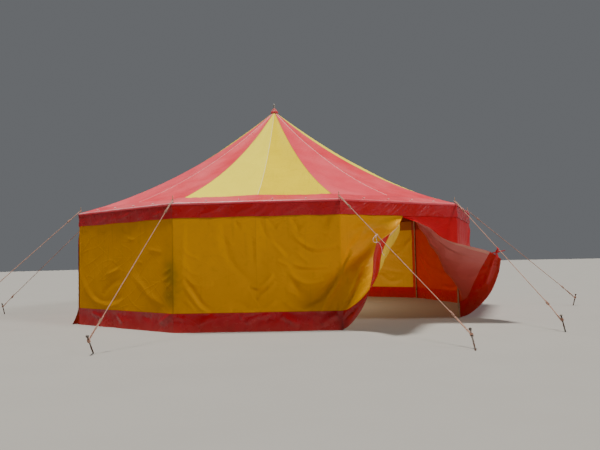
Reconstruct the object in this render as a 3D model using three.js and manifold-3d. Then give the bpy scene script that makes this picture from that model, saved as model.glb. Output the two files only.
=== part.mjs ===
// A round circus big top: a ten-sided canvas roof on one king pole, with a side pole, a guy
// rope and a stake at each corner, a valance round the eave, and walls in four quarter
// sections. The two front sections meet at the entrance, where their free corners are tied
// back to the guy ropes.
// Millimetres, +Z up. The origin is on the ground under the king pole, and the entrance
// faces -Y. Bearings are in degrees from -Y towards +X.
import * as THREE from 'three';
import { mergeVertices } from 'three/addons/utils/BufferGeometryUtils.js';
import Module from 'manifold-3d';

const wasm = await Module();
wasm.setup();

// Driving dimensions
const SIDES = 10;
const CORNER_R = 6000; // to the wall's outer face at a corner
const EAVE_Z = 2850;
const EAVE_SLOPE = 0.30; // rise of the roof per unit of radius at the eave
const ROOF_CURVE = 0.0444 / 1000; // how fast the roof steepens towards the pole, per mm
const EAVE_OVERHANG = 18; // of the roof past the wall's outer face
const CANVAS = 12; // thickness of roof and wall
const VALANCE_DROP = 340;
const VALANCE_THICK = 6;
const HEM_HEIGHT = 400; // plastic skirt along the foot of the wall
const GAP = 0.3; // between pieces that touch

const POLE_R = 45; // king pole
const SPIGOT_R = 28;
const SPIGOT_Z = 6500;
const SPIGOT_TAPER = 30; // height of the tip, where it narrows to half
const SPIGOT_DROP = 20; // the spigot starts this far below the canvas
const BASE_SIZE = 420;
const BASE_THICK = 12;
const RING_OUTER_R = 130; // crown ring that carries the canvas
const RING_THICK = 10;
const CANVAS_TOP_R = 62; // corner radius of the hole at the roof's peak
const CANVAS_SEAT_R = 140; // the canvas lies straight on the crown ring up to here
const CAP_R = 105;
const CAP_RIM = 35;
const CAP_TOP_R = 60;
const CAP_TOP_Z = 6335;
const CAP_DOME = 15; // rise of its top face
const CAP_SKIN = 7;

const SIDE_POLE_R = 21;
const PIN_R = 8;
const PIN_TOP_Z = 3020;
const PIN_CHAMFER = [4, 6]; // inwards and down
const EYELET_R = 9;
const EYELET_CUT = 200; // how far the cutter reaches above and below the eave

const ROPE_R = 10;
const LOOP_Z = 2930; // of the guy's loop round the pin
const LOOP_R = PIN_R + ROPE_R + GAP;
const KNOT_SHARE = 0.09; // how far down the guy its doubled part is knotted
const KNOT_R = 26;
const KNOT_LENGTH = 110;
const STAKE_R = 14;
const STAKE_Z = 340;
const STAKE_HEAD_R = 26;
const STAKE_HEAD = 26;
const HITCH_SHARE = 0.72; // height of the guy's hitch on its stake, as a share of the stake
const HITCH_SPAN = [0.12, 0.3]; // of the turns: towards the stake's foot and towards its head
const HITCH_R = STAKE_R + 9;
const STAKE_BEARING_R = 8770; // from the king pole to a stake's foot
const STAKE_LEAN = 90; // outwards, at the stake's head

// Bearings of the ten corners, from the one left of the entrance round to the right
const STEP = 360 / SIDES;
const FIRST = -STEP / 2;
const HALF = THREE.MathUtils.degToRad(STEP / 2);
const APOTHEM = CORNER_R * Math.cos(HALF);
const CORNERS = Array.from({ length: SIDES }, (_, i) => FIRST + STEP * i);

// The stakes by the entrance stand askew: foot and head offset, in mm
const OWN_STAKES = {
  '-54': { foot: [-7010, -5261], lean: [-157, -200] },
  '-18': { foot: [-1979, -9414], lean: [150, 230] },
  '18': { foot: [1138, -9022], lean: [-64, 41] },
  '54': { foot: [6559, -5815], lean: [60, -60] },
};

// The two front walls, tied back to the guys beside the entrance. Each thread leaves its side
// pole at one of these heights and runs through five points to the free edge. The wall's cloth
// ends at the fourth thread, and the hem's foot is the fifth. The left flap's threads fold back
// at their third point, so that its inner side shows between there and the edge.
const THREAD_Z = [1940, 1410, 900, HEM_HEIGHT, 0];
const LEFT_THREADS = [
  [[-1580, -5740, 1900], [-960, -5790, 1990], [-450, -6040, 2130], [-530, -6150, 2190],
    [-640, -6220, 2230]],
  [[-1690, -5810, 1370], [-1290, -5960, 1450], [-980, -6300, 1710], [-1020, -6460, 1930],
    [-930, -6440, 2150]],
  [[-1740, -5860, 890], [-1530, -6120, 1020], [-1390, -6520, 1400], [-1370, -6690, 1740],
    [-1190, -6650, 2100]],
  [[-1800, -5880, 450], [-1720, -6240, 700], [-1640, -6640, 1180], [-1690, -6850, 1640],
    [-1440, -6840, 2030]],
  [[-1820, -5930, 130], [-1700, -6230, 520], [-1790, -6640, 1130], [-1920, -6880, 1640],
    [-1890, -6940, 1840]],
];
const RIGHT_THREADS = [
  [[1500, -5720, 1940], [880, -5740, 2010], [490, -5820, 2170], [430, -5970, 2250],
    [420, -6080, 2250]],
  [[1610, -5720, 1390], [1210, -5750, 1470], [880, -5840, 1680], [740, -6110, 1850],
    [660, -6360, 1950]],
  [[1750, -5730, 830], [1540, -5760, 940], [1290, -5900, 1160], [1090, -6320, 1490],
    [1030, -6720, 1770]],
  [[1820, -5860, 440], [1740, -6080, 560], [1590, -6380, 860], [1450, -6760, 1270],
    [1380, -7080, 1610]],
  [[1930, -5870, 60], [1990, -6160, 270], [1970, -6560, 630], [1810, -6940, 1080],
    [1630, -7180, 1450]],
];
const STRAIGHT_SHARES = [0.18, 0.52, 0.82, 0.92, 1]; // the five points behind the valance
const ROWS_A_THREAD = 2;
const COLUMNS_A_POINT = 2;
const LAP = 1.4; // degrees that a front section runs on past its last pole

// The white cord that ties the left flap: up from the hem's corner, one slack turn round the
// guy, a loop that hangs to the left, and the tail
const LEFT_TIE_R = 4;
const LEFT_TIE_STEPS = 80;
const LEFT_TIE_ROUTE = [
  [-1887.3, -6944.3, 1841.9], [-1893, -6938, 1900], [-1888, -6922, 1955], [-1874, -6908, 2003],
  [-1862, -6918, 2016], [-1843, -6920, 2015], [-1834, -6912, 2000], [-1843, -6904, 1985],
  [-1862, -6906, 1983], [-1876, -6918, 1990], [-1902, -6922, 1985], [-1940, -6918, 1950],
  [-1962, -6912, 1905], [-1954, -6922, 1866], [-1927, -6950, 1850], [-1893, -6974, 1858],
  [-1862, -6988, 1838], [-1837, -6996, 1790], [-1818, -7002, 1740], [-1812, -7006, 1690],
  [-1814, -7010, 1640], [-1774, -7025, 1585],
];

// The red ribbon that ties the right flap: a knot round the guy, a strand and a knot at the hem
const RIGHT_TIE_SHARE = 0.463; // how far down the guy
const GUY_KNOT = [46, 30, 32]; // half sizes along, across and above the guy
const HEM_KNOT = [40, 34, 30];
const HEM_KNOT_AT = [1494, -7152, 1586];
const RIBBON_R = 9;

const slots = {
  roof_red: [0xb3121f, 0.45, 0],
  roof_yellow: [0xe2a81c, 0.5, 0],
  wall_red: [0x9c1414, 0.55, 0],
  wall_yellow: [0xc98a08, 0.55, 0],
  hem_red: [0x8e0f18, 0.35, 0],
  rope: [0xcaa493, 0.85, 0],
  cord_white: [0xe6e2da, 0.8, 0],
  ribbon_red: [0xc8202a, 0.4, 0],
  steel: [0x8d8f90, 0.45, 0.8],
  dark_steel: [0x4c4a46, 0.6, 0.7],
};
const materials = {};
for (const [name, [color, roughness, metalness]] of Object.entries(slots)) {
  materials[name] = new THREE.MeshStandardMaterial({ name, color, roughness, metalness });
  materials[name].side = THREE.DoubleSide;
}

const tent = new THREE.Group();

function place(name, geometry, slot) {
  const mesh = new THREE.Mesh(geometry, materials[slot]);
  mesh.name = name;
  tent.add(mesh);
  return mesh;
}

// A point at a bearing and radius
function polar(bearing, radius, z) {
  const turn = THREE.MathUtils.degToRad(bearing);
  return new THREE.Vector3(radius * Math.sin(turn), -radius * Math.cos(turn), z);
}

// Height of the roof's upper face over a point at this corner radius
function roofZ(radius) {
  const inward = CORNER_R - radius;
  return EAVE_Z + EAVE_SLOPE * inward + ROOF_CURVE * inward * inward;
}

// A merged, closed mesh as a manifold solid, and back
function toSolid(geometry) {
  const bare = geometry.index ? geometry.toNonIndexed() : geometry.clone();
  for (const key of Object.keys(bare.attributes)) {
    if (key !== 'position') bare.deleteAttribute(key);
  }
  const merged = mergeVertices(bare, 1e-3);
  return new wasm.Manifold(new wasm.Mesh({
    numProp: 3,
    vertProperties: new Float32Array(merged.attributes.position.array),
    triVerts: new Uint32Array(merged.index.array),
  }));
}

function toGeometry(solid) {
  const mesh = solid.getMesh();
  const geometry = new THREE.BufferGeometry();
  geometry.setAttribute('position', new THREE.BufferAttribute(mesh.vertProperties, 3));
  geometry.setIndex(new THREE.BufferAttribute(mesh.triVerts, 1));
  geometry.computeVertexNormals();
  return geometry;
}

function join(geometries) {
  return geometries.map(toSolid).reduce((whole, next) => whole.add(next));
}

// A round tube of few sides through points
function tube(points, radius, steps) {
  const section = new THREE.Shape(Array.from({ length: 8 }, (_, i) => {
    const turn = Math.PI * (i + 0.5) / 4;
    return new THREE.Vector2(radius * Math.cos(turn), radius * Math.sin(turn));
  }));
  const extrudePath = new THREE.CatmullRomCurve3(points);
  return new THREE.ExtrudeGeometry(section, { steps, extrudePath });
}

function indexed(points, faces) {
  const geometry = new THREE.BufferGeometry();
  geometry.setAttribute('position', new THREE.Float32BufferAttribute(
    points.flatMap((p) => [p.x, p.y, p.z]), 3));
  geometry.setIndex(faces.flat());
  geometry.computeVertexNormals();
  return geometry;
}

// A profile of [radius, z] turned about the Z axis
function lathe(profile, segments, start = 0) {
  const outline = profile.map(([radius, z]) => new THREE.Vector2(radius, z));
  const geometry = new THREE.LatheGeometry(outline, segments, start, 2 * Math.PI);
  return geometry.rotateX(Math.PI / 2);
}

// A ten-sided ring whose corners lie on the tent's own
function tenSided(profile) {
  return lathe(profile, SIDES, HALF);
}

// A round bar from one point to another
function bar(from, to, radius, sides = 8) {
  const along = new THREE.Vector3().subVectors(to, from);
  const geometry = new THREE.CylinderGeometry(radius, radius, along.length(), sides);
  const turn = new THREE.Quaternion().setFromUnitVectors(
    new THREE.Vector3(0, 1, 0), along.clone().normalize());
  const middle = new THREE.Vector3().addVectors(from, to).multiplyScalar(0.5);
  return geometry.applyQuaternion(turn).translate(middle.x, middle.y, middle.z);
}

// One face of the ten-sided cone: a closed [apothem, z] outline between its two corner planes
function facet(profile, bearing) {
  const anticlockwise = (points) => THREE.ShapeUtils.area(points) > 0;
  const toShape = (points) => points.map(([apothem, z]) => new THREE.Vector2(apothem, z));
  const outline = anticlockwise(toShape(profile)) ? profile : profile.slice().reverse();
  const points = [];
  for (const side of [-1, 1]) {
    for (const [apothem, z] of outline) {
      const across = side * (apothem * Math.tan(HALF) - GAP / 2);
      points.push(new THREE.Vector3(across, -apothem, z));
    }
  }
  const count = outline.length;
  const shape = toShape(outline);
  const faces = [];
  for (const triangle of THREE.ShapeUtils.triangulateShape(shape, [])) {
    const turned = anticlockwise(triangle.map((k) => shape[k]));
    const [a, b, c] = turned ? triangle : triangle.slice().reverse();
    faces.push([a, b, c]);
    faces.push([a + count, c + count, b + count]);
  }
  for (let i = 0; i < count; i += 1) {
    const j = (i + 1) % count;
    faces.push([i, j + count, j]);
    faces.push([i, i + count, j + count]);
  }
  const geometry = indexed(points, faces);
  return geometry.rotateZ(THREE.MathUtils.degToRad(bearing));
}

// The same grid of points, moved by the cloth's thickness to its inner side
function innerSide(rows, thickness) {
  const clamp = THREE.MathUtils.clamp;
  const at = (i, j) => rows[clamp(i, 0, rows.length - 1)][clamp(j, 0, rows[0].length - 1)];
  const way = (from, to) => new THREE.Vector3().subVectors(to, from).normalize();
  return rows.map((row, i) => row.map((point, j) => {
    const across = way(at(i, j), at(i, j + 1)).add(way(at(i, j - 1), at(i, j)));
    const down = way(at(i, j), at(i + 1, j)).add(way(at(i - 1, j), at(i, j)));
    return point.clone().addScaledVector(across.cross(down).normalize(), thickness);
  }));
}

// A closed sheet between an outer and an inner grid of points
function sheet(outer, inner) {
  const height = outer.length;
  const width = outer[0].length;
  const total = height * width;
  const faces = [];
  const quad = (a, b, c, d) => faces.push([a, b, c], [a, c, d]);
  for (let i = 0; i + 1 < height; i += 1) {
    for (let j = 0; j + 1 < width; j += 1) {
      const a = i * width + j;
      quad(a, a + width, a + width + 1, a + 1);
      quad(total + a, total + a + 1, total + a + width + 1, total + a + width);
    }
  }
  for (let i = 0; i + 1 < height; i += 1) {
    const left = i * width;
    const right = left + width - 1;
    quad(left, total + left, total + left + width, left + width);
    quad(right, right + width, total + right + width, total + right);
  }
  for (let j = 0; j + 1 < width; j += 1) {
    const low = (height - 1) * width + j;
    quad(j, j + 1, total + j + 1, total + j);
    quad(low, total + low, total + low + 1, low + 1);
  }
  return indexed([...outer.flat(), ...inner.flat()], faces);
}

// King pole on its base plate
place('king_pole_base', new THREE.BoxGeometry(BASE_SIZE, BASE_SIZE, BASE_THICK)
  .translate(0, 0, BASE_THICK / 2), 'dark_steel');
const shoulderZ = roofZ(CANVAS_TOP_R) - SPIGOT_DROP;
place('king_pole', lathe([
  [0, BASE_THICK + GAP], [POLE_R, BASE_THICK + GAP], [POLE_R, shoulderZ],
  [SPIGOT_R, shoulderZ], [SPIGOT_R, SPIGOT_Z - SPIGOT_TAPER], [SPIGOT_R / 2, SPIGOT_Z],
  [0, SPIGOT_Z],
], 20), 'steel');

// The roof: ten faces, red and yellow in turn
const apothemOf = (radius) => radius * Math.cos(HALF);
const eaveR = (APOTHEM + EAVE_OVERHANG) / Math.cos(HALF);
const underside = (radius) => roofZ(radius) - CANVAS * Math.hypot(1, slopeAt(radius));
function slopeAt(radius) {
  return EAVE_SLOPE + 2 * ROOF_CURVE * (CORNER_R - radius);
}
const ROOF_ROWS = 8;
const roofRadii = Array.from({ length: ROOF_ROWS + 1 },
  (_, i) => CANVAS_SEAT_R + (eaveR - CANVAS_SEAT_R) * (i / ROOF_ROWS));
roofRadii.unshift(CANVAS_TOP_R);
const roofOutline = [
  ...roofRadii.map((radius) => [apothemOf(radius), roofZ(radius)]),
  ...roofRadii.slice().reverse().map((radius) => [apothemOf(radius), underside(radius)]),
];
const polePitchR = (APOTHEM - CANVAS - SIDE_POLE_R - GAP) / Math.cos(HALF);
for (let i = 0; i < SIDES; i += 1) {
  const middle = CORNERS[i] + STEP / 2;
  let panel = toSolid(facet(roofOutline, middle));
  for (const corner of [CORNERS[i], CORNERS[i] + STEP]) {
    const low = polar(corner, polePitchR, EAVE_Z - EYELET_CUT);
    const high = polar(corner, polePitchR, EAVE_Z + EYELET_CUT);
    panel = panel.subtract(toSolid(bar(low, high, EYELET_R, 12)));
  }
  const slot = i % 2 === 0 ? 'roof_red' : 'roof_yellow';
  place(`roof_panel_${String(i + 1).padStart(2, '0')}`, toGeometry(panel), slot);
}

// Crown ring under the canvas, and the cap over the hole at the peak
const ringInner = (POLE_R + GAP) / Math.cos(HALF);
place('crown_ring', tenSided([
  [ringInner, underside(ringInner) - GAP - RING_THICK],
  [RING_OUTER_R, underside(RING_OUTER_R) - GAP - RING_THICK],
  [RING_OUTER_R, underside(RING_OUTER_R) - GAP],
  [ringInner, underside(ringInner) - GAP],
  [ringInner, underside(ringInner) - GAP - RING_THICK],
]), 'steel');
const capInner = (SPIGOT_R + GAP) / Math.cos(HALF);
place('peak_cap', tenSided([
  [CAP_R, roofZ(CAP_R) + GAP],
  [CAP_R, roofZ(CAP_R) + CAP_RIM],
  [CAP_TOP_R, CAP_TOP_Z - CAP_DOME],
  [capInner, CAP_TOP_Z],
  [capInner, CAP_TOP_Z - CAP_SKIN],
  [CAP_TOP_R - CAP_SKIN, CAP_TOP_Z - CAP_DOME - CAP_SKIN],
  [CAP_R - CAP_SKIN, roofZ(CAP_R) + CAP_RIM],
  [CAP_R - CAP_SKIN, roofZ(CAP_R - CAP_SKIN) + GAP],
  [CAP_R, roofZ(CAP_R) + GAP],
]), 'hem_red');

// The valance hangs from the roof's edge, just outside the wall
const valanceOuter = (APOTHEM + EAVE_OVERHANG - 2) / Math.cos(HALF);
const valanceInner = valanceOuter - VALANCE_THICK / Math.cos(HALF);
place('valance', tenSided([
  [valanceInner, EAVE_Z - VALANCE_DROP],
  [valanceOuter, EAVE_Z - VALANCE_DROP],
  [valanceOuter, underside(valanceOuter) - GAP],
  [valanceInner, underside(valanceInner) - GAP],
  [valanceInner, EAVE_Z - VALANCE_DROP],
]), 'hem_red');

// Side poles, each with the pin that carries the roof's corner and the guy's loop
const shoulder = underside(polePitchR + SIDE_POLE_R) - GAP;
CORNERS.forEach((bearing, i) => {
  const pole = lathe([
    [0, 0], [SIDE_POLE_R, 0], [SIDE_POLE_R, shoulder], [PIN_R, shoulder],
    [PIN_R, PIN_TOP_Z - PIN_CHAMFER[1]], [PIN_R - PIN_CHAMFER[0], PIN_TOP_Z], [0, PIN_TOP_Z],
  ], 12);
  const foot = polar(bearing, polePitchR, 0);
  pole.translate(foot.x, foot.y, 0);
  place(`side_pole_${String(i + 1).padStart(2, '0')}`, pole, 'steel');
});

// Guy ropes: a loop on the pin, two legs down to a knot, then one rope to the stake
function stakeAt(bearing) {
  const own = OWN_STAKES[String(bearing)];
  if (own) {
    const [x, y] = own.foot;
    const [dx, dy] = own.lean;
    return { foot: new THREE.Vector3(x, y, 0), head: new THREE.Vector3(x + dx, y + dy, STAKE_Z) };
  }
  return {
    foot: polar(bearing, STAKE_BEARING_R, 0),
    head: polar(bearing, STAKE_BEARING_R + STAKE_LEAN, STAKE_Z),
  };
}

function stake(foot, head) {
  const shaft = new THREE.CylinderGeometry(STAKE_R, STAKE_R, STAKE_Z, 10);
  const top = new THREE.CylinderGeometry(STAKE_HEAD_R * 0.8, STAKE_HEAD_R, STAKE_HEAD, 10);
  shaft.rotateX(Math.PI / 2).translate(0, 0, STAKE_Z / 2);
  top.rotateX(Math.PI / 2).translate(0, 0, STAKE_Z - STAKE_HEAD / 2);
  const lean = new THREE.Matrix4().set(
    1, 0, (head.x - foot.x) / STAKE_Z, foot.x,
    0, 1, (head.y - foot.y) / STAKE_Z, foot.y,
    0, 0, 1, 0,
    0, 0, 0, 1,
  );
  return [shaft.applyMatrix4(lean), top.applyMatrix4(lean)];
}

const guys = CORNERS.map((bearing) => {
  const { foot, head } = stakeAt(bearing);
  const pin = polar(bearing, polePitchR, LOOP_Z);
  const hitch = foot.clone().lerp(head, HITCH_SHARE);
  const along = new THREE.Vector3().subVectors(hitch, pin).normalize();
  return { foot, head, pin, hitch, along };
});

guys.forEach(({ foot, head, pin, hitch, along }, i) => {
  const side = new THREE.Vector3().crossVectors(along, new THREE.Vector3(0, 0, 1)).normalize();
  const knot = pin.clone().lerp(hitch, KNOT_SHARE);
  const loop = new THREE.TorusGeometry(LOOP_R, ROPE_R, 8, 12).translate(pin.x, pin.y, pin.z);
  const legs = [-1, 1].map((hand) => bar(
    pin.clone().addScaledVector(side, hand * LOOP_R).addScaledVector(along, ROPE_R / 2),
    knot.clone().addScaledVector(side, hand * ROPE_R * 0.6), ROPE_R));
  const half = along.clone().multiplyScalar(KNOT_LENGTH / 2);
  const blob = bar(knot.clone().sub(half), knot.clone().add(half), KNOT_R);
  const [downwards, upwards] = HITCH_SPAN;
  const turns = bar(hitch.clone().lerp(foot, downwards), hitch.clone().lerp(head, upwards),
    HITCH_R, 10);
  const whole = join([loop, ...legs, blob, bar(knot, hitch, ROPE_R), turns, ...stake(foot, head)]);
  place(`guy_line_${String(i + 1).padStart(2, '0')}`, toGeometry(whole), 'rope');
});

place('left_flap_tie', tube(LEFT_TIE_ROUTE.map((point) => new THREE.Vector3(...point)),
  LEFT_TIE_R, LEFT_TIE_STEPS), 'cord_white');

// The red ribbon, from the other guy to the right flap's hem
const rightGuy = guys[CORNERS.indexOf(18)];
const rightTie = rightGuy.pin.clone().lerp(rightGuy.hitch, RIGHT_TIE_SHARE);
const hemKnot = new THREE.Vector3(...HEM_KNOT_AT);
const lump = (halves, centre) => new THREE.SphereGeometry(1, 12, 8).scale(...halves)
  .applyQuaternion(new THREE.Quaternion().setFromUnitVectors(
    new THREE.Vector3(1, 0, 0), rightGuy.along)).translate(...centre.toArray());
const ribbon = join([lump(GUY_KNOT, rightTie), bar(rightTie, hemKnot, RIBBON_R),
  lump(HEM_KNOT, hemKnot)]);
const bore = bar(rightGuy.pin, rightGuy.hitch, ROPE_R + GAP / Math.cos(Math.PI / 8));
place('right_flap_tie', toGeometry(ribbon.subtract(toSolid(bore))), 'ribbon_red');

// Walls: a row of points runs round the tent at each height. Behind the valance the flaps hang
// straight, and below it they follow their threads.
const wallTop = underside(CORNER_R) - GAP;
const hangZ = EAVE_Z - VALANCE_DROP - 30;
const threadHeights = [hangZ, ...THREAD_Z];
const rowCount = (threadHeights.length - 1) * ROWS_A_THREAD;
const seamRow = 1 + THREAD_Z.indexOf(HEM_HEIGHT) * ROWS_A_THREAD + ROWS_A_THREAD;

// Height on the side poles of a row, counted from the first below the valance
function rowZ(row) {
  const above = Math.min(Math.floor(row / ROWS_A_THREAD), threadHeights.length - 2);
  const share = row / ROWS_A_THREAD - above;
  return THREE.MathUtils.lerp(threadHeights[above], threadHeights[above + 1], share);
}
const heights = [wallTop, ...Array.from({ length: rowCount + 1 }, (_, row) => rowZ(row))];

// A point on the outer face of the walls
function wallPoint(bearing, z) {
  const fromCorner = ((bearing - FIRST) % STEP + STEP) % STEP;
  const toMiddle = THREE.MathUtils.degToRad(fromCorner - STEP / 2);
  return polar(bearing, APOTHEM / Math.cos(toMiddle), z);
}

function nudged(point, bearing, towards) {
  const step = polar(bearing + 90, GAP / 2 * towards, 0);
  return point.clone().add(step);
}

// The columns of a tied-back wall, each from the roof to its foot, in order from the pole
function flapColumns(pole, threads) {
  const edge = (z) => nudged(new THREE.Vector3(0, -APOTHEM, z), 0, Math.sign(pole));
  const straight = (z) => STRAIGHT_SHARES.map((share) => wallPoint(pole, z).lerp(edge(z), share));
  const slack = threads.map((points) => points.map((point) => new THREE.Vector3(...point)));
  const steps = STRAIGHT_SHARES.length * COLUMNS_A_POINT;
  const rows = [straight(wallTop), straight(hangZ), ...slack].map((points, row) => {
    const z = [wallTop, ...threadHeights][row];
    return new THREE.CatmullRomCurve3([wallPoint(pole, z), ...points]).getPoints(steps);
  });
  const [top, ...below] = rows;
  return top.slice(1).map((point, j) => {
    const down = new THREE.CatmullRomCurve3(below.map((row) => row[j + 1]));
    return [point, ...down.getPoints(rowCount)];
  });
}

function section({ from, to, corners, flap }) {
  const columns = corners.map((bearing) => heights.map((z) => wallPoint(bearing, z)));
  const first = heights.map((z) => nudged(wallPoint(from, z), from, 1));
  const last = heights.map((z) => nudged(wallPoint(to, z), to, -1));
  let whole = [first, ...columns, last];
  if (from === 0) whole = [...flapColumns(...flap).reverse(), ...columns, last];
  if (to === 0) whole = [first, ...columns, ...flapColumns(...flap)];
  return heights.map((_, row) => whole.map((column) => column[row]));
}

const sections = {
  front_left: { from: -90 - LAP, to: 0, corners: [-90, -54, -18], slot: 'wall_yellow',
    flap: [-18, LEFT_THREADS] },
  front_right: { from: 0, to: 90 + LAP, corners: [18, 54, 90], slot: 'wall_red',
    flap: [18, RIGHT_THREADS] },
  back_right: { from: 90 + LAP, to: 180, corners: [126, 162], slot: 'wall_yellow' },
  back_left: { from: 180, to: 270 - LAP, corners: [198, 234], slot: 'wall_red' },
};
for (const [name, measures] of Object.entries(sections)) {
  const outer = section(measures);
  const inner = innerSide(outer, CANVAS);
  const cloth = [outer, inner].map((side) => side.slice(0, seamRow + 1));
  place(`wall_${name}`, sheet(...cloth), measures.slot);
  // The hem starts a gap below the cloth's last row
  const hem = [outer, inner].map((side) => {
    const [top, next, ...rest] = side.slice(seamRow);
    const lowered = top.map((point, j) => point.clone()
      .addScaledVector(new THREE.Vector3().subVectors(next[j], point).normalize(), GAP));
    return [lowered, next, ...rest];
  });
  place(`hem_${name}`, sheet(...hem), 'hem_red');
}

export default tent;
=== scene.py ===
# %% [markdown]
# A circus big top is cloth held up by one pole and pulled tight by ropes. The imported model
# gives every size and place, in metres, with the entrance towards -Y. This lesson dresses it
# piece by piece: thin sheets with seams and folds instead of plain plates, laid ropes instead
# of round bars, and a finish for each cloth and metal.

# %% Load the frame
import math

import bpy
import numpy as np
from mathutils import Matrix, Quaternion, Vector


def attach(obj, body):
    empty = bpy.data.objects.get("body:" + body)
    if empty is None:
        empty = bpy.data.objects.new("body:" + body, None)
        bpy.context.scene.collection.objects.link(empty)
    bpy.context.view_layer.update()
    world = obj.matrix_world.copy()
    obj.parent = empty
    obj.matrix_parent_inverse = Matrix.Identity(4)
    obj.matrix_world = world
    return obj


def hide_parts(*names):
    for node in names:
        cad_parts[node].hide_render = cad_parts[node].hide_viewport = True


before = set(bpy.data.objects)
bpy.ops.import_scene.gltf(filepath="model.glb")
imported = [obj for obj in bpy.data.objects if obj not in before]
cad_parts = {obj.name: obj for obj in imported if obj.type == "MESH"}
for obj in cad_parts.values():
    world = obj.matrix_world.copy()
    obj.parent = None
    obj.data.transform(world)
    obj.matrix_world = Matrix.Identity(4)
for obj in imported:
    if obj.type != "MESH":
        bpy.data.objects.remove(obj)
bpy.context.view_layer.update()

# %% [markdown]
# The eye stands 18.8 m from the king pole, at the height of a person's eyes. It looks a
# little upwards, and the picture is tipped a little to one side, as a picture taken by hand
# is. The pitch and the roll turn the camera about its own axes, so the walls keep the slight
# lean that they have in the photograph. Every lamp is set up and aimed later in the same way.

# %% Camera
EYE = (-9.776, -16.054, 1.585)
HEADING = (0.553, 0.833)  # on the ground, towards the tent
PITCH = math.radians(3.12)
ROLL = math.radians(-1.30)
LENS = 35.76
FILM_WIDE = 36  # in millimetres, like the lens


def set_up(name, data):
    """An object in the scene that shows this data."""
    thing = bpy.data.objects.new(name, data)
    bpy.context.scene.collection.objects.link(thing)
    return thing


def aim(thing, place, way, roll=0.0):
    """Puts a camera or a lamp in its place and points it along a way."""
    thing.location = place
    thing.rotation_mode = "QUATERNION"
    thing.rotation_quaternion = Vector(way).to_track_quat("-Z", "Y") @ Quaternion((0, 0, 1), roll)


view = bpy.data.cameras.new("view")
view.lens = LENS
view.sensor_width = FILM_WIDE
view.sensor_fit = "HORIZONTAL"
camera = set_up("camera", view)
bpy.context.scene.camera = camera
ahead = (HEADING[0] * math.cos(PITCH), HEADING[1] * math.cos(PITCH), math.sin(PITCH))
aim(camera, EYE, ahead, ROLL)
print("camera at", EYE, "with a lens of", LENS, "mm")

# %% [markdown]
# Every piece is a mesh of points and faces that rides on the tent, and a face is a list of
# the numbers of its points. Blender's own tubes and planes could be bent into place, but the
# points of cloth and rope come from formulas here, so the meshes are made from them directly.
# Ropes, stakes and ribbons are closed tubes through rings of points.

# %% Pieces and faces
SHARP = math.radians(50)  # a sharper edge than this stays an edge in smooth shading


def as_piece(name, points, faces, materials, stands_for=(), second=None, cloth=None):
    """A smooth mesh object that rides on the tent; second says which faces take the second material."""
    mesh = bpy.data.meshes.new(name)
    mesh.from_pydata(np.asarray(points).tolist(), [], [tuple(map(int, face)) for face in faces])
    for material in materials:
        mesh.materials.append(material)
    if second is not None:
        mesh.polygons.foreach_set("material_index", np.asarray(second, np.int32))
    if cloth is not None:
        layer = mesh.attributes.new("cloth", "FLOAT_VECTOR", "POINT")
        layer.data.foreach_set("vector", np.asarray(cloth, np.float32).ravel())
    mesh.shade_smooth()
    mesh.set_sharp_from_angle(angle=SHARP)
    piece = set_up(name, mesh)
    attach(piece, "root")
    if stands_for:
        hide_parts(*stands_for)
    return piece


def quads(*corners):
    """Faces with four corners, from four grids of point numbers."""
    return np.stack([corner.ravel() for corner in corners], axis=1)


def tube_faces(rings, sides, first=0):
    """Faces of a closed tube through rings of points, numbered from first, and of its two ends."""
    grid = first + np.arange(rings * sides).reshape(rings, sides)
    beside = np.roll(grid, -1, axis=1)
    walls = quads(grid[:-1], beside[:-1], beside[1:], grid[1:])
    return [*walls.tolist(), grid[0, ::-1].tolist(), grid[-1].tolist()]


print("a box has", len(tube_faces(2, 4)), "faces")

# %% [markdown]
# Every sheet is a net of points, row by row from top to bottom, with a second net a
# little way behind it and a rim that joins the two. It could be one plane with a Solidify
# modifier, but two nets give each side its own material in a simple way, which coated canvas
# needs: its outer side is glossy and strong in colour, and its inner side is duller.
# Each point also carries its place on the cloth in metres, so that seams, weave and
# dirt follow the cloth wherever it is pulled.

# %% Sheets
CLOTH_THICK = 0.004
TINY = 1e-9  # keeps a length that is divided by away from zero


def inward(net):
    """Unit vectors that point from the outer side of a net to its inner side."""
    away = np.cross(np.gradient(net, axis=1), np.gradient(net, axis=0))
    return away / np.maximum(np.linalg.norm(away, axis=2, keepdims=True), TINY)


def cloth_piece(name, net, marks, materials, stands_for=(), thick=CLOTH_THICK):
    """A thin closed sheet through a net of points; its inner side takes the last material."""
    rows, columns = net.shape[:2]
    both = np.concatenate([net.reshape(-1, 3), (net + inward(net) * thick).reshape(-1, 3)])
    at = np.arange(rows * columns).reshape(rows, columns)
    back = at + rows * columns
    outer = quads(at[:-1, :-1], at[1:, :-1], at[1:, 1:], at[:-1, 1:])
    inner = quads(back[:-1, :-1], back[:-1, 1:], back[1:, 1:], back[1:, :-1])
    rim = [
        quads(at[:-1, 0], back[:-1, 0], back[1:, 0], at[1:, 0]),
        quads(at[:-1, -1], at[1:, -1], back[1:, -1], back[:-1, -1]),
        quads(at[0, :-1], at[0, 1:], back[0, 1:], back[0, :-1]),
        quads(at[-1, :-1], back[-1, :-1], back[-1, 1:], at[-1, 1:]),
    ]
    faces = np.concatenate([outer, inner, *rim])
    second = np.zeros(len(faces), int)
    second[len(outer):2 * len(outer)] = len(materials) - 1
    cloth = np.concatenate([marks.reshape(-1, 3)] * 2)
    return as_piece(name, both, faces, materials, stands_for, second, cloth)


print("sheets are", CLOTH_THICK * 1000, "mm thick")

# %% [markdown]
# A smooth line through a few chosen points carries both the cord and the threads of the
# tied-back walls. This is the centripetal kind of spline, which doesn't overshoot where the
# points lie close together.

# %% Smooth lines
LEAST_GAP = 1e-6  # keeps two points in one place from being divided by nothing


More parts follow.
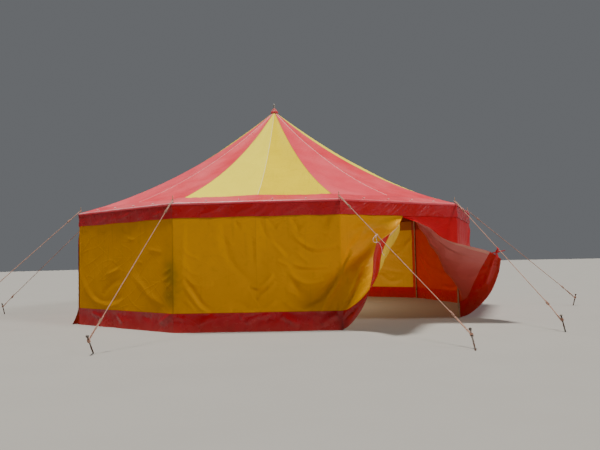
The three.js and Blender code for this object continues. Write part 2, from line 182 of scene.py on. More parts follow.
def spline(points, steps):
    """A smooth line through rows of points, with that many steps between two of them."""
    points = np.asarray(points, float)
    ends = 2 * points[0] - points[1], 2 * points[-1] - points[-2]
    points = np.concatenate([ends[0][None], points, ends[1][None]])
    share = np.arange(steps) / steps
    share = share.reshape((-1,) + (1,) * (points.ndim - 1))
    line = []
    for p0, p1, p2, p3 in zip(points, points[1:], points[2:], points[3:]):
        before, here, after = [np.linalg.norm(b - a, axis=-1, keepdims=True) ** 0.5 + LEAST_GAP
                               for a, b in ((p0, p1), (p1, p2), (p2, p3))]
        start = (p1 - p0) / before - (p2 - p0) / (before + here) + (p2 - p1) / here
        stop = (p2 - p1) / here - (p3 - p1) / (here + after) + (p3 - p2) / after
        start, stop = start * here, stop * here
        bend = 2 * p1 - 2 * p2 + start + stop
        turn = -3 * p1 + 3 * p2 - 2 * start - stop
        line.append(p1 + share * (start + share * (turn + share * bend)))
    return np.concatenate([*line, points[-2][None]])


def distances(line):
    """How far along a line of points each of them is."""
    return np.concatenate([[0], np.cumsum(np.linalg.norm(np.diff(line, axis=0), axis=1))])


print(f"a rounded corner is {distances(spline([(0, 0), (1, 0), (1, 1)], 8))[-1]:.3f} long, a sharp one 2")

# %% [markdown]
# The plan has ten sides. Places on it are given as a bearing, in degrees from the entrance
# towards the right, and a distance from the king pole. The roof gets steeper towards the
# pole, as cloth does that hangs between a ring and a rim.

# %% The tent's own geometry
STEP = 36
FIRST = -18  # the side pole left of the entrance
CORNERS = [FIRST + STEP * i for i in range(10)]
ROUNDING = 1e-6  # keeps a corner from counting as part of the face before it
HALF = math.radians(STEP / 2)
CORNER_R = 6.0
APOTHEM = CORNER_R * math.cos(HALF)
FACE = 2 * CORNER_R * math.sin(HALF)
EAVE_Z = 2.85
EAVE_SLOPE = 0.30
ROOF_CURVE = 0.0444
OVERHANG = 0.018  # of the roof past the walls
EAVE_R = (APOTHEM + OVERHANG) / math.cos(HALF)
SOLID_CLOTH = 0.012  # what the plain solids take for the cloth
SIDE_POLE_R = 0.021
GAP = 0.0003  # between solids that touch
POLE_PITCH_R = (APOTHEM - SOLID_CLOTH - SIDE_POLE_R - GAP) / math.cos(HALF)
VALANCE_DROP = 0.34
VALANCE_Z = EAVE_Z - VALANCE_DROP  # the valance's lower edge
BORDER_R = 5.5  # corner radius where the roof's red border starts
BORDER_WIDE = (CORNER_R - BORDER_R) * math.cos(HALF)
UP = np.array([0, 0, 1.0])


def polar(bearing, radius, z):
    """The point at a bearing, a distance from the king pole and a height."""
    turn = math.radians(bearing)
    return np.array([radius * math.sin(turn), -radius * math.cos(turn), z])


def corner_of(bearing):
    """The corner where the face at a bearing starts."""
    return math.floor((bearing - FIRST + ROUNDING) / STEP) * STEP + FIRST


def face_ways(corner):
    """Unit vectors outwards and along the face that starts at a corner."""
    middle = corner + STEP / 2
    return polar(middle, 1, 0), polar(middle + 90, 1, 0)


def roof_z(radius):
    """The roof's height at a corner radius."""
    return EAVE_Z + EAVE_SLOPE * (CORNER_R - radius) + ROOF_CURVE * (CORNER_R - radius) ** 2


def wall_xy(bearing):
    """A point of the plan's outline."""
    to_middle = (bearing - FIRST) % STEP - STEP / 2
    return polar(bearing, APOTHEM / math.cos(math.radians(to_middle)), 0)[:2]


def wall_u(bearing):
    """How far along the outline a bearing is, with a corner at each whole face."""
    count, rest = divmod(bearing - FIRST, STEP)
    return count * FACE + FACE / 2 + APOTHEM * math.tan(math.radians(rest - STEP / 2))


print(f"a face is {FACE:.3f} m wide")

# %% [markdown]
# Colours are written with the usual six letters and turned into amounts of light, which is
# what a shader works with. Most of a finish is sums and products of what its nodes give out,
# so these get plain signs, and each sign adds one Math node to the material.

# %% Colours and plain signs
def shade(code):
    """A colour from its usual six letters, as light."""
    parts = [int(code[i:i + 2], 16) / 255 for i in (0, 2, 4)]
    return tuple(((c + 0.055) / 1.055) ** 2.4 if c > 0.04 else c / 12.92 for c in parts)


class Value:
    """What a node gives out."""

    def __init__(self, finish, socket):
        self.finish = finish
        self.socket = socket

    def __add__(self, other):
        return self.finish.math("ADD", self, other)

    def __sub__(self, other):
        return self.finish.math("SUBTRACT", self, other)

    def __rsub__(self, other):
        return self.finish.math("SUBTRACT", other, self)

    def __mul__(self, other):
        return self.finish.math("MULTIPLY", self, other)

    def __abs__(self):
        return self.finish.math("ABSOLUTE", self)


print("middle grey as light:", shade("808080"))

# %% [markdown]
# A material is a tree of nodes. Writing each node and link in full hides what the finish
# does, so this small helper makes one node a call: noise for stains and fading, a smooth
# step between two values, a mix of two colours, and a bump.

# %% Helper for finishes
MIX_COLOURS = {"first": 6, "second": 7, "output": 2}  # the Mix node has a set of sockets for each kind


class Finish:
    """A material with one Principled shader and short calls for the nodes before it."""

    def __init__(self, name, roughness, specular=0.5):
        self.material = bpy.data.materials.new(name)
        self.material.use_nodes = True
        self.tree = self.material.node_tree
        self.shader = self.tree.nodes["Principled BSDF"].inputs
        self.shader["Roughness"].default_value = roughness
        self.shader["Specular IOR Level"].default_value = specular

    def add(self, kind, values, output=0, **settings):
        """A node of that kind with these inputs, and what it gives out."""
        node = self.tree.nodes.new(kind)
        for key, value in settings.items():
            setattr(node, key, value)
        for key, value in values.items():
            self.put(node.inputs[key], value)
        return Value(self, node.outputs[output])

    def put(self, socket, value):
        """Links a socket to what a node gives out, or sets it to a number or a colour."""
        if isinstance(value, Value):
            self.tree.links.new(value.socket, socket)
        elif socket.type == "RGBA":
            socket.default_value = (*value, 1)
        else:
            socket.default_value = value

    def math(self, operation, *values):
        """One step of arithmetic with numbers or with what nodes give out."""
        return self.add("ShaderNodeMath", dict(enumerate(values)), operation=operation)

    def join(self, x, y):
        """A place from two distances."""
        return self.add("ShaderNodeCombineXYZ", {"X": x, "Y": y})

    def read_cloth(self):
        """Sets u along the cloth, v up it, edge as the distance to its side, and spot as its place."""
        marks = self.add("ShaderNodeAttribute", {}, "Vector", attribute_name="cloth")
        self.u, self.v, self.edge = [self.add("ShaderNodeSeparateXYZ", {0: marks}, way) for way in "XYZ"]
        self.spot = self.join(self.u, self.v)

    def place(self):
        """The place on the object itself, for what isn't cloth."""
        return self.add("ShaderNodeTexCoord", {}, "Object")

    def noise(self, place, scale, detail=3.0, roughness=0.55):
        """Cloudy values about 0.5; a larger scale makes them finer."""
        values = {"Vector": place, "Scale": scale, "Detail": detail, "Roughness": roughness}
        return self.add("ShaderNodeTexNoise", values)

    def step(self, value, low, high, start=0.0, stop=1.0):
        """Goes smoothly from start to stop as value goes from low to high."""
        values = {0: value, 1: low, 2: high, 3: start, 4: stop}
        return self.add("ShaderNodeMapRange", values, interpolation_type="SMOOTHSTEP")

    def near(self, value, at, width):
        """1 where value is at, and 0 a width away."""
        return self.step(abs(value - at), 0.0, width, 1.0, 0.0)

    def zigzag(self, value, size):
        """Rises from 0 to size and falls back to 0, again and again."""
        return self.math("PINGPONG", value, size)

    def mix(self, factor, first, second):
        """The first colour where factor is 0, and the second where it is 1."""
        values = {0: factor, MIX_COLOURS["first"]: first, MIX_COLOURS["second"]: second}
        return self.add("ShaderNodeMix", values, MIX_COLOURS["output"], data_type="RGBA")

    def bump(self, height, distance, strength, under=None):
        """A bump, on top of another one if there is one under it."""
        values = {"Height": height, "Distance": distance, "Strength": strength}
        if under is not None:
            values["Normal"] = under
        return self.add("ShaderNodeBump", values)

    def done(self, colour, roughness=None, normal=None):
        """Links what is given to the shader, and gives back the material."""
        for key, value in (("Base Color", colour), ("Roughness", roughness), ("Normal", normal)):
            if value is not None:
                self.put(self.shader[key], value)
        return self.material


print("sockets of a colour mix:", MIX_COLOURS)

# %% [markdown]
# The tent's cloth is canvas with a plastic coating. Up close it shows a fine weave under
# a satin skin, stitches beside its seams, and thin wrinkles where it is slack. A picture could
# be laid over it, but a formula of the cloth's own place is as sharp from near as from afar.

# %% Stitches and wrinkles
THREAD = 0.0016  # wide


def stitches(f, half_way=0.004, reach=0.0026):
    """The stitches of all rows that run up or down, half_way being half the way between two."""
    return f.near(f.zigzag(f.v, half_way), 0.0, reach)


def wrinkles(f, turn, stretch, scale, width):
    """Thin wandering creases that run along one slanting direction."""
    turn = math.radians(turn)
    along = f.u * math.cos(turn) + f.v * math.sin(turn)
    across = f.v * math.cos(turn) - f.u * math.sin(turn)
    place = f.join(along, across * stretch)
    crest = f.near(f.noise(place, scale, 1.0, 0.3), 0.5, width)
    return crest * f.step(f.noise(place, 0.6 * scale, 1.0), 0.35, 0.6)


print("a thread every", THREAD * 1000, "mm")

# %% [markdown]
# From a few steps away one sees that the cloth has faded unevenly, that rain has drawn
# streaks down it, that dust sits near the ground, and that it still shows the square creases
# of the way it was folded for the road. Its colour and its height are worked out apart.

# %% Weather and creases
DUST = shade("8f7f68")
GRIME = shade("4a4330")
CREASES = (0.618, 0.57)  # between folding creases, across and down
CREASE_REACH = 0.012


def weathered(f, fine, colour, worn, streaks, dusty):
    """The colour: faded in clouds, with fine grime, streaks of rain, and dust at the foot."""
    tone = f.mix(f.step(f.noise(f.spot, 0.55, 4.0), 0.38, 0.66), colour, worn)
    tone = f.mix(f.step(fine, 0.52, 0.78, 0.0, 0.10), tone, GRIME)
    runs = f.noise(f.join(f.u * 9.0, f.v * 0.7), 1.0, 4.0)
    tone = f.mix(f.step(runs, 0.56, 0.74, 0.0, streaks), tone, GRIME)
    if dusty:
        reach = f.v + (fine - 0.5) * 0.5
        tone = f.mix(f.step(reach, 0.0, 0.30, dusty, 0.0), tone, DUST)
    return tone


def creased(f, fine, creases, crumple, scale):
    """The height: fine unevenness, square folding creases, and two sets of wrinkles."""
    lines = [f.near(f.zigzag(way + fine * wander, apart / 2), 0.0, CREASE_REACH)
             for way, wander, apart in ((f.u, 0.02, CREASES[0]), (f.v, 0.03, CREASES[1]))]
    patchy = f.step(f.noise(f.spot, 1.7, 2.0), 0.42, 0.62)
    folded = f.math("MAXIMUM", *lines) * (patchy * creases)
    slack = wrinkles(f, 24, 5.0, 0.8 * scale, 0.045) + wrinkles(f, -38, 4.0, 1.1 * scale, 0.04)
    return fine * 0.6 - folded + slack * crumple


print("a folding crease every", CREASES[0], "m across and", CREASES[1], "m down")

# %% [markdown]
# One function puts this together for every cloth of the tent. It draws the plain seams where
# the marks say that a pole or a joint is, and what only one cloth has comes in as extra.

# %% Coated canvas
SEAM_REACH = 0.02
ROW_ASIDE = 0.012  # the stitches, from the seam's middle


def seamed(f, tone, height, worn, seam_at):
    """A seam from top to bottom once a face, with a row of stitches on either side."""
    to_seam = f.zigzag(f.u - seam_at, FACE / 2)
    seam = f.near(to_seam, 0.0, SEAM_REACH)
    rows = f.near(to_seam, ROW_ASIDE, 0.0022)
    tone = f.mix(seam * 0.09, tone, GRIME)
    tone = f.mix(rows * (stitches(f) * 0.6), tone, worn)
    return tone, height + seam * 0.35


def canvas(name, colour, worn, roughness, specular=0.3, seam_at=0.0, creases=0.5, crumple=0.6,
           fold_scale=1.0, streaks=0.10, dusty=0.0, extra=None):
    """A coated cloth; seam_at is how far its seams are from a pole, and None leaves them out."""
    f = Finish(name, roughness, specular)
    f.read_cloth()
    fine = f.noise(f.spot, 7.0, 4.0)
    tone = weathered(f, fine, colour, worn, streaks, dusty)
    height = creased(f, fine, creases, crumple, fold_scale)
    if seam_at is not None:
        tone, height = seamed(f, tone, height, worn, seam_at)
    if extra:
        tone, height = extra(f, tone, height)
    threads = f.math("SINE", f.u * (math.pi / THREAD)) * f.math("SINE", f.v * (math.pi / THREAD))
    rough = f.step(f.noise(f.spot, 2.3, 4.0), 0.3, 0.7, roughness - 0.07, roughness + 0.1)
    return f.done(tone, rough, f.bump(threads, 0.0003, 0.35, f.bump(height, 0.006, 0.7)))


print("a plain seam fades out", SEAM_REACH * 1000, "mm from its middle")

# %% [markdown]
# Each roof face is sewn from two cuts with a pale tape between them, and the left cut is
# painted paler than the right one, as a sheen. From inside, the seam shows without its tape,
# and the border that is sewn over the foot of the roof is painted as a dark strip, the shade
# it casts where light comes through. Such a part of a finish takes the colour and the height
# so far, and gives back its own.

# %% Seams of the roof
TAPE = shade("f2cfc4")
CREAM = shade("f3e2a6")
TAPE_REACH = 0.016
TAPE_ROW = 0.010  # its stitches, from its middle
HEM_WIDE = 0.02
SOFT = 0.012  # over how much of the cloth one colour gives way to another


def gore_seams(f, tone, height, pale=TAPE, faded=(0.72, 0.09, 0.12)):
    """The left cut painted paler as a sheen, the tape down the middle of a face, and the turned hems at its
    sides.
    """
    # painted sheen: the left cut of each face is mixed towards a paler colour
    tone = f.mix(f.step(f.u, -SOFT, SOFT / 2, 0.38, 0.0), tone, faded)
    tape = f.near(f.u, 0.0, TAPE_REACH)
    rows = f.near(abs(f.u), TAPE_ROW, 0.002)
    tone = f.mix(tape * 0.85, tone, pale)
    tone = f.mix(rows * stitches(f), tone, GRIME)
    hem = f.step(f.edge, HEM_WIDE - 0.004, HEM_WIDE + 0.004, 1.0, 0.0)
    return f.mix(hem * 0.18, tone, GRIME), height + f.math("MAXIMUM", tape, hem)


def yellow_gore_seams(f, tone, height):
    """The same on a yellow face."""
    return gore_seams(f, tone, height, CREAM, (0.97, 0.90, 0.10))


def inner_border(f, tone, height):
    """From inside, the border that lies over the roof's foot is painted as a dark red strip, the shade it
    casts where light comes through.
    """
    seam = f.near(f.u, 0.0, SEAM_REACH)
    tone = f.mix(seam * 0.3, tone, GRIME)
    # painted shade: a dark red strip where the border lies outside
    strip = f.step(f.v, BORDER_WIDE - SOFT, BORDER_WIDE + SOFT, 0.92, 0.0)
    return f.mix(strip, tone, (0.30, 0.014, 0.006)), height + seam


print("the roof's tape is", 2 * TAPE_REACH * 1000, "mm wide")

# %% [markdown]
# Outdoors the cloth has aged by place, and some light and shade is painted on it. The front
# wall has a green stain beside its pole and is darker towards its foot, and its left flap is
# painted darker as shade. The border is painted pale where it rolls over the eave, as a sheen,
# and creases of the valance get painted highlights. All of these are masks made from the
# place on the cloth, and a noise keeps them from looking drawn.

# %% Ageing and painted light of the outer sides
MOSS = shade("55560e")
STAIN_U = -FACE - 0.07
STAIN_REACH = 0.42


def front_wear_and_shade(f, tone, height):
    """The left flap painted darker as painted shade, darker towards the foot, a dark line down the stained
    pole, and the green stain.
    """
    # painted shade: the outer side of the left flap is mixed towards a darker yellow
    flap_shade = f.step(f.u, 0.1, 0.9) * f.step(f.u, 2.2, 2.8, 0.38, 0.0)
    tone = f.mix(flap_shade, tone, (0.45, 0.235, 0.0))
    tone = f.mix(f.step(f.v, 0.4, 1.7, 0.28, 0.0), tone, (0.42, 0.17, 0.0))
    tone = f.mix(f.near(f.u, -FACE, 0.03) * 0.25, tone, GRIME)
    high = f.step(f.v, 0.3, 0.9) * f.step(f.v, 1.3, 2.1, 1.0, 0.0)
    cloudy = f.step(f.noise(f.spot, 2.6, 3.0), 0.35, 0.6, 0.55, 1.0)
    return f.mix(f.near(f.u, STAIN_U, STAIN_REACH) * high * cloudy * 0.56, tone, MOSS), height


def eave_sheen(f, tone, height):
    """The border is painted pale where it rolls over the eave, a painted sheen, strongest on the left faces.
    """
    rolled = f.step(f.v, 0.03, 0.06) * f.step(f.v, 0.08, 0.15, 1.0, 0.0)
    patchy = f.step(f.noise(f.spot, 1.6, 3.0), 0.35, 0.6, 0.3, 0.9)
    aside = abs(f.u - 8.4 * FACE)
    share = patchy * f.step(aside, 0.4 * FACE, 1.8 * FACE, 0.75, 0.22)
    # painted sheen: the roll is mixed towards a pale pink
    return f.mix(rolled * share, tone, (0.74, 0.44, 0.47)), height


def glints(f, tone, height):
    """Fine slanting creases, with painted highlights along them."""
    lines = wrinkles(f, 38, 6.0, 1.3, 0.012) * f.step(f.u, 7 * FACE, 10 * FACE, 1.0, 0.5)
    # painted highlight: the creases are mixed towards a paler red
    return f.mix(lines * 0.17, tone, (0.72, 0.26, 0.28)), height + lines * 0.3


print("the stain is", 2 * STAIN_REACH, "m wide")

# %% [markdown]
# The inner sides are painted darker behind the valance, as the shade where two layers keep out
# the light. The flaps hang outdoors and show theirs, so they have a stitched band along the free
# edge, painted paler as a highlight, and the red one is painted pink there as a sheen.

# %% The inner sides: band, painted shade and sheen
BAND_WIDE = 0.073
BAND_ROWS = (0.006, 0.064)  # its stitches, from the edge


def inner_shade_and_band(f, tone, height, valance_shade=(0.36, 0.085, 0.003)):
    """The inner side: painted darker behind the valance as its shade, and where it hangs outdoors a stitched
    band, painted paler as a highlight.
    """
    outdoors = f.step(f.u, 0.0, 0.3) * f.step(f.u, FACE - 0.5, FACE - 0.1, 1.0, 0.0)
    # painted shade: darker where the valance hangs outside
    tone = f.mix(f.step(f.v, VALANCE_Z - SOFT, VALANCE_Z + SOFT, 0.0, 0.9), tone, valance_shade)
    band = f.step(f.edge, BAND_WIDE - 0.003, BAND_WIDE + 0.003, 1.0, 0.0) * outdoors
    rows = f.math("MAXIMUM", *[f.near(f.edge, row, 0.002) for row in BAND_ROWS])
    # painted highlight: the band is mixed towards a pale pink
    tone = f.mix(band * 0.5, tone, (0.84, 0.50, 0.40))
    tone = f.mix(rows * (stitches(f, 0.005, 0.0032) * 0.7), tone, GRIME)
    return tone, height + band * 0.5


def flap_sheen(f, tone, height):
    """The red flap's inner side is painted pink outdoors as a sheen, palest along its free edge as a painted
    reflection.
    """
    outdoors = f.step(f.u, FACE - 0.5, FACE - 0.1, 1.0, 0.0)
    # painted sheen: pink where the flap hangs outdoors
    tone = f.mix(outdoors, tone, (0.64, 0.092, 0.080))
    # painted reflection: paler still towards the free edge
    tone = f.mix(outdoors * f.step(f.edge, 0.08, 0.75, 0.55, 0.0), tone, (0.78, 0.27, 0.26))
    return inner_shade_and_band(f, tone, height, (0.30, 0.010, 0.003))


print("the band of a free edge is", BAND_WIDE * 1000, "mm wide")

# %% [markdown]
# Each cloth has a strong colour and a worn one, a roughness, and what makes it differ from
# plain canvas. The skirts and the valance are a glossier plastic with deeper creases. The
# inner sides look warmer and duller than the outer ones.

# %% Colours of the cloth
ROOF_RED = (0.66, 0.035, 0.055), (0.72, 0.09, 0.11)
CLOTHS = {  # colour, worn colour, roughness, specular, where its seams are, and what else differs
    "roof_red": (*ROOF_RED, 0.42, 0.12, None, dict(creases=0.3, extra=gore_seams)),
    "roof_yellow": ((0.70, 0.52, 0.0), (0.76, 0.58, 0.0), 0.42, 0.03, None,
                    dict(creases=0.3, streaks=0.12, extra=yellow_gore_seams)),
    "border": (*ROOF_RED, 0.34, 0.3, 0.0, dict(creases=0.3, extra=eave_sheen)),
    "wall_yellow": ((0.70, 0.305, 0.0), (0.65, 0.285, 0.001), 0.5, 0.07, FACE / 2,
                    dict(dusty=0.25, extra=front_wear_and_shade)),
    "wall_red": ((0.54, 0.004, 0.011), (0.48, 0.007, 0.014), 0.42, 0.14, FACE / 2, dict(dusty=0.25)),
    "hem": ((0.36, 0.002, 0.006), (0.38, 0.005, 0.012), 0.22, 0.42, 0.0,
            dict(creases=0.9, crumple=0.55, fold_scale=0.75, dusty=0.10)),
    "valance": ((0.46, 0.009, 0.013), (0.47, 0.018, 0.026), 0.26, 0.32, 0.0,
                dict(creases=0.8, crumple=0.4, fold_scale=1.2, extra=glints)),
    "inner_yellow": ((0.80, 0.50, 0.03), (0.76, 0.46, 0.03), 0.6, 0.3, FACE / 2,
                     dict(dusty=0.2, extra=inner_shade_and_band)),
    "inner_red": ((0.62, 0.030, 0.010), (0.58, 0.035, 0.012), 0.45, 0.3, FACE / 2,
                  dict(dusty=0.15, extra=flap_sheen)),
    "inner_roof_red": ((0.45, 0.03, 0.03), (0.42, 0.035, 0.03), 0.6, 0.3, None,
                       dict(creases=0.3, extra=inner_border)),
    "inner_roof_yellow": ((0.7, 0.42, 0.02), (0.66, 0.4, 0.02), 0.6, 0.3, None,
                          dict(creases=0.3, extra=inner_border)),
    "inner_hem": ((0.53, 0.005, 0.004), (0.53, 0.008, 0.007), 0.3, 0.25, 0.0,
                  dict(creases=0.9, dusty=0.1)),
    "cap": ((0.62, 0.07, 0.08), (0.58, 0.12, 0.13), 0.42, 0.2, None, dict(creases=0.2)),
}
cloths = {name: canvas(f"{name}_cloth", *basics, **rest) for name, (*basics, rest) in CLOTHS.items()}
print(len(cloths), "cloth finishes")

# %% [markdown]
# The metal is plain tube, galvanised long ago: dull and mottled, with patches of rust. The
# stakes are bare bars and rustier than the tubes. The ropes are a faded pinkish fibre, darker
# between its hairs and in patches, as old rope is that has taken up some dirt.

# %% Metal, rope and ribbon
CLOUDED = 0.72  # how much of the colour a dull cloud keeps


def metal(name, colour, rust, roughness, share):
    """Dull steel with clouds and patches of rust, more of them with a larger share."""
    f = Finish(name, roughness)
    place = f.place()
    spots = f.noise(place, 14.0, 5.0)
    clouds = f.noise(place, 3.0)
    tone = f.mix(f.step(clouds, 0.35, 0.7), colour, tuple(CLOUDED * c for c in colour))
    rusty = f.step(spots + (share - 0.5), 0.45, 0.62)
    f.put(f.shader["Metallic"], 0.8 - rusty * 0.75)
    rough = rusty * 0.35 + f.step(clouds, 0.3, 0.7, roughness, roughness + 0.12)
    return f.done(f.mix(rusty, tone, rust), rough, f.bump(spots, 0.002, 0.5))


def fibre(name, colour, dark, fuzz=90.0):
    """Rough fibre, dark between its hairs and in patches; a larger fuzz makes the hairs finer."""
    f = Finish(name, 0.85)
    hairs = f.noise(f.place(), fuzz)
    tone = f.mix(f.step(hairs, 0.35, 0.62), dark, colour)
    tone = f.mix(f.step(f.noise(f.place(), 2.5), 0.5, 0.75, 0.0, 0.45), tone, dark)
    return f.done(tone, None, f.bump(hairs, 0.002, 0.8))


tube = metal("galvanised_tube", shade("a7a49b"), shade("6b4a34"), 0.42, 0.34)
stake_steel = metal("stake_steel", shade("6f6a64"), shade("54382a"), 0.5, 0.52)
plate_steel = metal("plate_steel", shade("4f4c48"), shade("5a3a2a"), 0.55, 0.5)
pole_paint = metal("pole_tube", shade("b9a98c"), shade("7d6a4d"), 0.5, 0.42)
rope_fibre = fibre("guy_fibre", shade("c99f8a"), shade("8a6353"))
cord_fibre = fibre("cord_fibre", shade("efe9e0"), shade("c9bfb4"), 260.0)
ribbon_weave = fibre("ribbon_weave", shade("d8232c"), shade("b01822"), 160.0)
print("metal and fibre ready")

# %% [markdown]
# The white cord ties the left flap. It leaves the skirt's corner, takes one slack turn
# round the guy rope, hangs in a loop to the left, and its tail hangs free. A curve with a
# round bevel is the right tool for it, because a cord is the same all along.

# %% The cord of the left flap
CORD_R = 0.004
CORD_ROUTE = [
    (-1.8873, -6.9443, 1.8419), (-1.893, -6.938, 1.900), (-1.888, -6.922, 1.955),
    (-1.874, -6.908, 2.003), (-1.862, -6.918, 2.016), (-1.843, -6.920, 2.015),
    (-1.834, -6.912, 2.000), (-1.843, -6.904, 1.985), (-1.862, -6.906, 1.983),
    (-1.876, -6.918, 1.990), (-1.902, -6.922, 1.985), (-1.940, -6.918, 1.950),
    (-1.962, -6.912, 1.905), (-1.954, -6.922, 1.866), (-1.927, -6.950, 1.850),
    (-1.893, -6.974, 1.858), (-1.862, -6.988, 1.838), (-1.837, -6.996, 1.790),
    (-1.818, -7.002, 1.740), (-1.812, -7.006, 1.690), (-1.814, -7.010, 1.640),
    (-1.774, -7.025, 1.585),
]
cord_line = spline(CORD_ROUTE, 6)
cord_curve = bpy.data.curves.new("left_flap_cord", "CURVE")
cord_curve.dimensions = "3D"
cord_curve.bevel_depth = CORD_R
cord_curve.bevel_resolution = 3
cord_curve.use_fill_caps = True
strand = cord_curve.splines.new("POLY")
strand.points.add(len(cord_line) - 1)
for knot, point in zip(strand.points, cord_line):
    knot.co = (*point, 1)
cord_curve.materials.append(cord_fibre)
flap_cord = set_up("left_flap_cord", cord_curve)
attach(flap_cord, "root")
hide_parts("left_flap_tie")

# %% [markdown]
# Cloth under tension shows ridges, and slack cloth shows swags. Both are made here as
# long soft ridges along chosen lines: each has a few points, a width and a
# height, and it fades out at its ends. A cloth simulation would place such folds by
# chance, and the front of this tent has folds that one can point at.

# %% Ridges
TURN = 2 * math.pi


def ridge_field(across, down, ridges):
    """The summed height of ridges, each (points, width, height), at places on a cloth."""
    height = np.zeros(np.broadcast(across, down).shape)
    for points, width, tall in ridges:
        line = spline(np.array(points), 5)
        share = distances(line) / distances(line)[-1]
        best = np.full(height.shape, np.inf)
        along = np.zeros(height.shape)
        for a, b, before, after in zip(line, line[1:], share, share[1:]):
            way = b - a
            t = np.clip(((across - a[0]) * way[0] + (down - a[1]) * way[1]) / (way @ way + TINY), 0, 1)
            far = np.hypot(across - a[0] - t * way[0], down - a[1] - t * way[1])
            closer = far < best
            best = np.where(closer, far, best)
            along = np.where(closer, before + t * (after - before), along)
        fade = np.sqrt(np.clip(5 * along * (1 - along), 0, 1))
        height += tall * np.exp(-(best / width) ** 2) * fade
    return height


def ripple(across, down, seed, long_wave, short_wave, count=9):
    """Soft unevenness, mostly between -1 and 1, the same for the same seed."""
    draw = np.random.default_rng(seed)
    total = np.zeros(np.broadcast(across, down).shape)
    for _ in range(count):
        wave = draw.uniform(short_wave, long_wave)
        turn, start = draw.uniform(0, TURN, 2)
        total += np.sin(TURN / wave * (across * math.cos(turn) + down * math.sin(turn)) + start)
    return total / count ** 0.5 / 1.6


print("a ridge fades to", ridge_field(0.1, 0.0, [([(0, 0), (0, 1)], 0.05, 1.0)]), "at its end")

# %% [markdown]
# The faces that the front doesn't show get folds of the same kinds from a seed, so that no
# two are alike and each run gives the same ones: creases that hang from the poles, short
# rungs where the cloth is tied to them, slack swags in between, and folds down the skirt.

# %% Folds from a seed
def bow(start, end, sag):
    """Three points of a line that hangs a little between its ends."""
    return [start, ((start[0] + end[0]) / 2, (start[1] + end[1]) / 2 - sag), end]


def pulled_face(seed):
    """The ridges of one wall face, in metres from its left pole and above the ground."""
    draw = np.random.default_rng(seed)
    ridges = []
    for side, pole in ((-1, 0.0), (1, FACE)):
        for top in draw.uniform(1.7, 2.5, 3):
            end = (pole - side * draw.uniform(0.5, 1.5), top - draw.uniform(0.3, 1.1))
            tall = draw.uniform(0.014, 0.028)
            ridges.append((bow((pole - side * 0.05, top), end, 0.05), draw.uniform(0.04, 0.07), tall))
        for low in np.arange(0.6, 2.2, 0.16):
            end = (pole - side * draw.uniform(0.15, 0.3), low - draw.uniform(0.05, 0.2))
            ridges.append((bow((pole - side * 0.02, low), end, 0.01), 0.03, draw.uniform(0.008, 0.016)))
    for _ in range(5):
        start = (draw.uniform(0.2, 1.6), draw.uniform(0.6, 1.9))
        end = (start[0] + draw.uniform(0.7, 2.0), start[1] + draw.uniform(-0.5, 0.5))
        tall = draw.choice([-1, 1]) * draw.uniform(0.016, 0.034)
        ridges.append((bow(start, end, draw.uniform(0.05, 0.3)), draw.uniform(0.05, 0.1), tall))
    for _ in range(5):
        start = (draw.uniform(0.3, 3.2), 0.38)
        end = (start[0] + draw.uniform(-0.4, 0.4), draw.uniform(0.05, 0.2))
        ridges.append((bow(start, end, 0.0), 0.05, draw.uniform(-0.016, 0.024)))
    return ridges


print(len(pulled_face(0)), "ridges on such a face")

# %% [markdown]
# The walls hang in four quarter sections, each of cloth with a plastic skirt below. On
# the flat faces a column of points stands every few centimetres and the folds push it in or
# out. Beside the entrance the cloth leaves the flat: threads run from the side pole to the
# free edge, the same ones that the plain solids follow. They were followed in the
# picture, each point at a distance from the eye that was chosen for it, then brought to
# metres and adjusted. A finer net is drawn through them both ways.

# %% Threads of the tied-back walls
HANG_Z = 2.48
SEAM_Z = 0.40
THREAD_Z = [HANG_Z, 1.94, 1.41, 0.90, SEAM_Z, 0.0]
LEFT_THREADS = [
    [(-1.58, -5.74, 1.90), (-0.96, -5.79, 1.99), (-0.45, -6.04, 2.13), (-0.53, -6.15, 2.19),
     (-0.64, -6.22, 2.23)],
    [(-1.69, -5.81, 1.37), (-1.29, -5.96, 1.45), (-0.98, -6.30, 1.71), (-1.02, -6.46, 1.93),
     (-0.93, -6.44, 2.15)],
    [(-1.74, -5.86, 0.89), (-1.53, -6.12, 1.02), (-1.39, -6.52, 1.40), (-1.37, -6.69, 1.74),
     (-1.19, -6.65, 2.10)],
    [(-1.80, -5.88, 0.45), (-1.72, -6.24, 0.70), (-1.64, -6.64, 1.18), (-1.69, -6.85, 1.64),
     (-1.44, -6.84, 2.03)],
    [(-1.82, -5.93, 0.13), (-1.70, -6.23, 0.52), (-1.79, -6.64, 1.13), (-1.92, -6.88, 1.64),
     (-1.89, -6.94, 1.84)],
]
RIGHT_THREADS = [
    [(1.50, -5.72, 1.94), (0.88, -5.74, 2.01), (0.49, -5.82, 2.17), (0.43, -5.97, 2.25),
     (0.42, -6.08, 2.25)],
    [(1.61, -5.72, 1.39), (1.21, -5.75, 1.47), (0.88, -5.84, 1.68), (0.74, -6.11, 1.85),
     (0.66, -6.36, 1.95)],
    [(1.75, -5.73, 0.83), (1.54, -5.76, 0.94), (1.29, -5.90, 1.16), (1.09, -6.32, 1.49),
     (1.03, -6.72, 1.77)],
    [(1.82, -5.86, 0.44), (1.74, -6.08, 0.56), (1.59, -6.38, 0.86), (1.45, -6.76, 1.27),
     (1.38, -7.08, 1.61)],
    [(1.93, -5.87, 0.06), (1.99, -6.16, 0.27), (1.97, -6.56, 0.63), (1.81, -6.94, 1.08),
     (1.63, -7.18, 1.45)],
]
STRAIGHT_SHARES = [0.0, 0.18, 0.52, 0.82, 0.92, 1.0]  # places on the top thread, as the others have
MEET = 0.002  # how far each flap's top thread stops from the middle of the entrance
WALL_TOP = 2.836
TOP_ROWS = 8  # behind the valance
THREAD_ROWS = 18
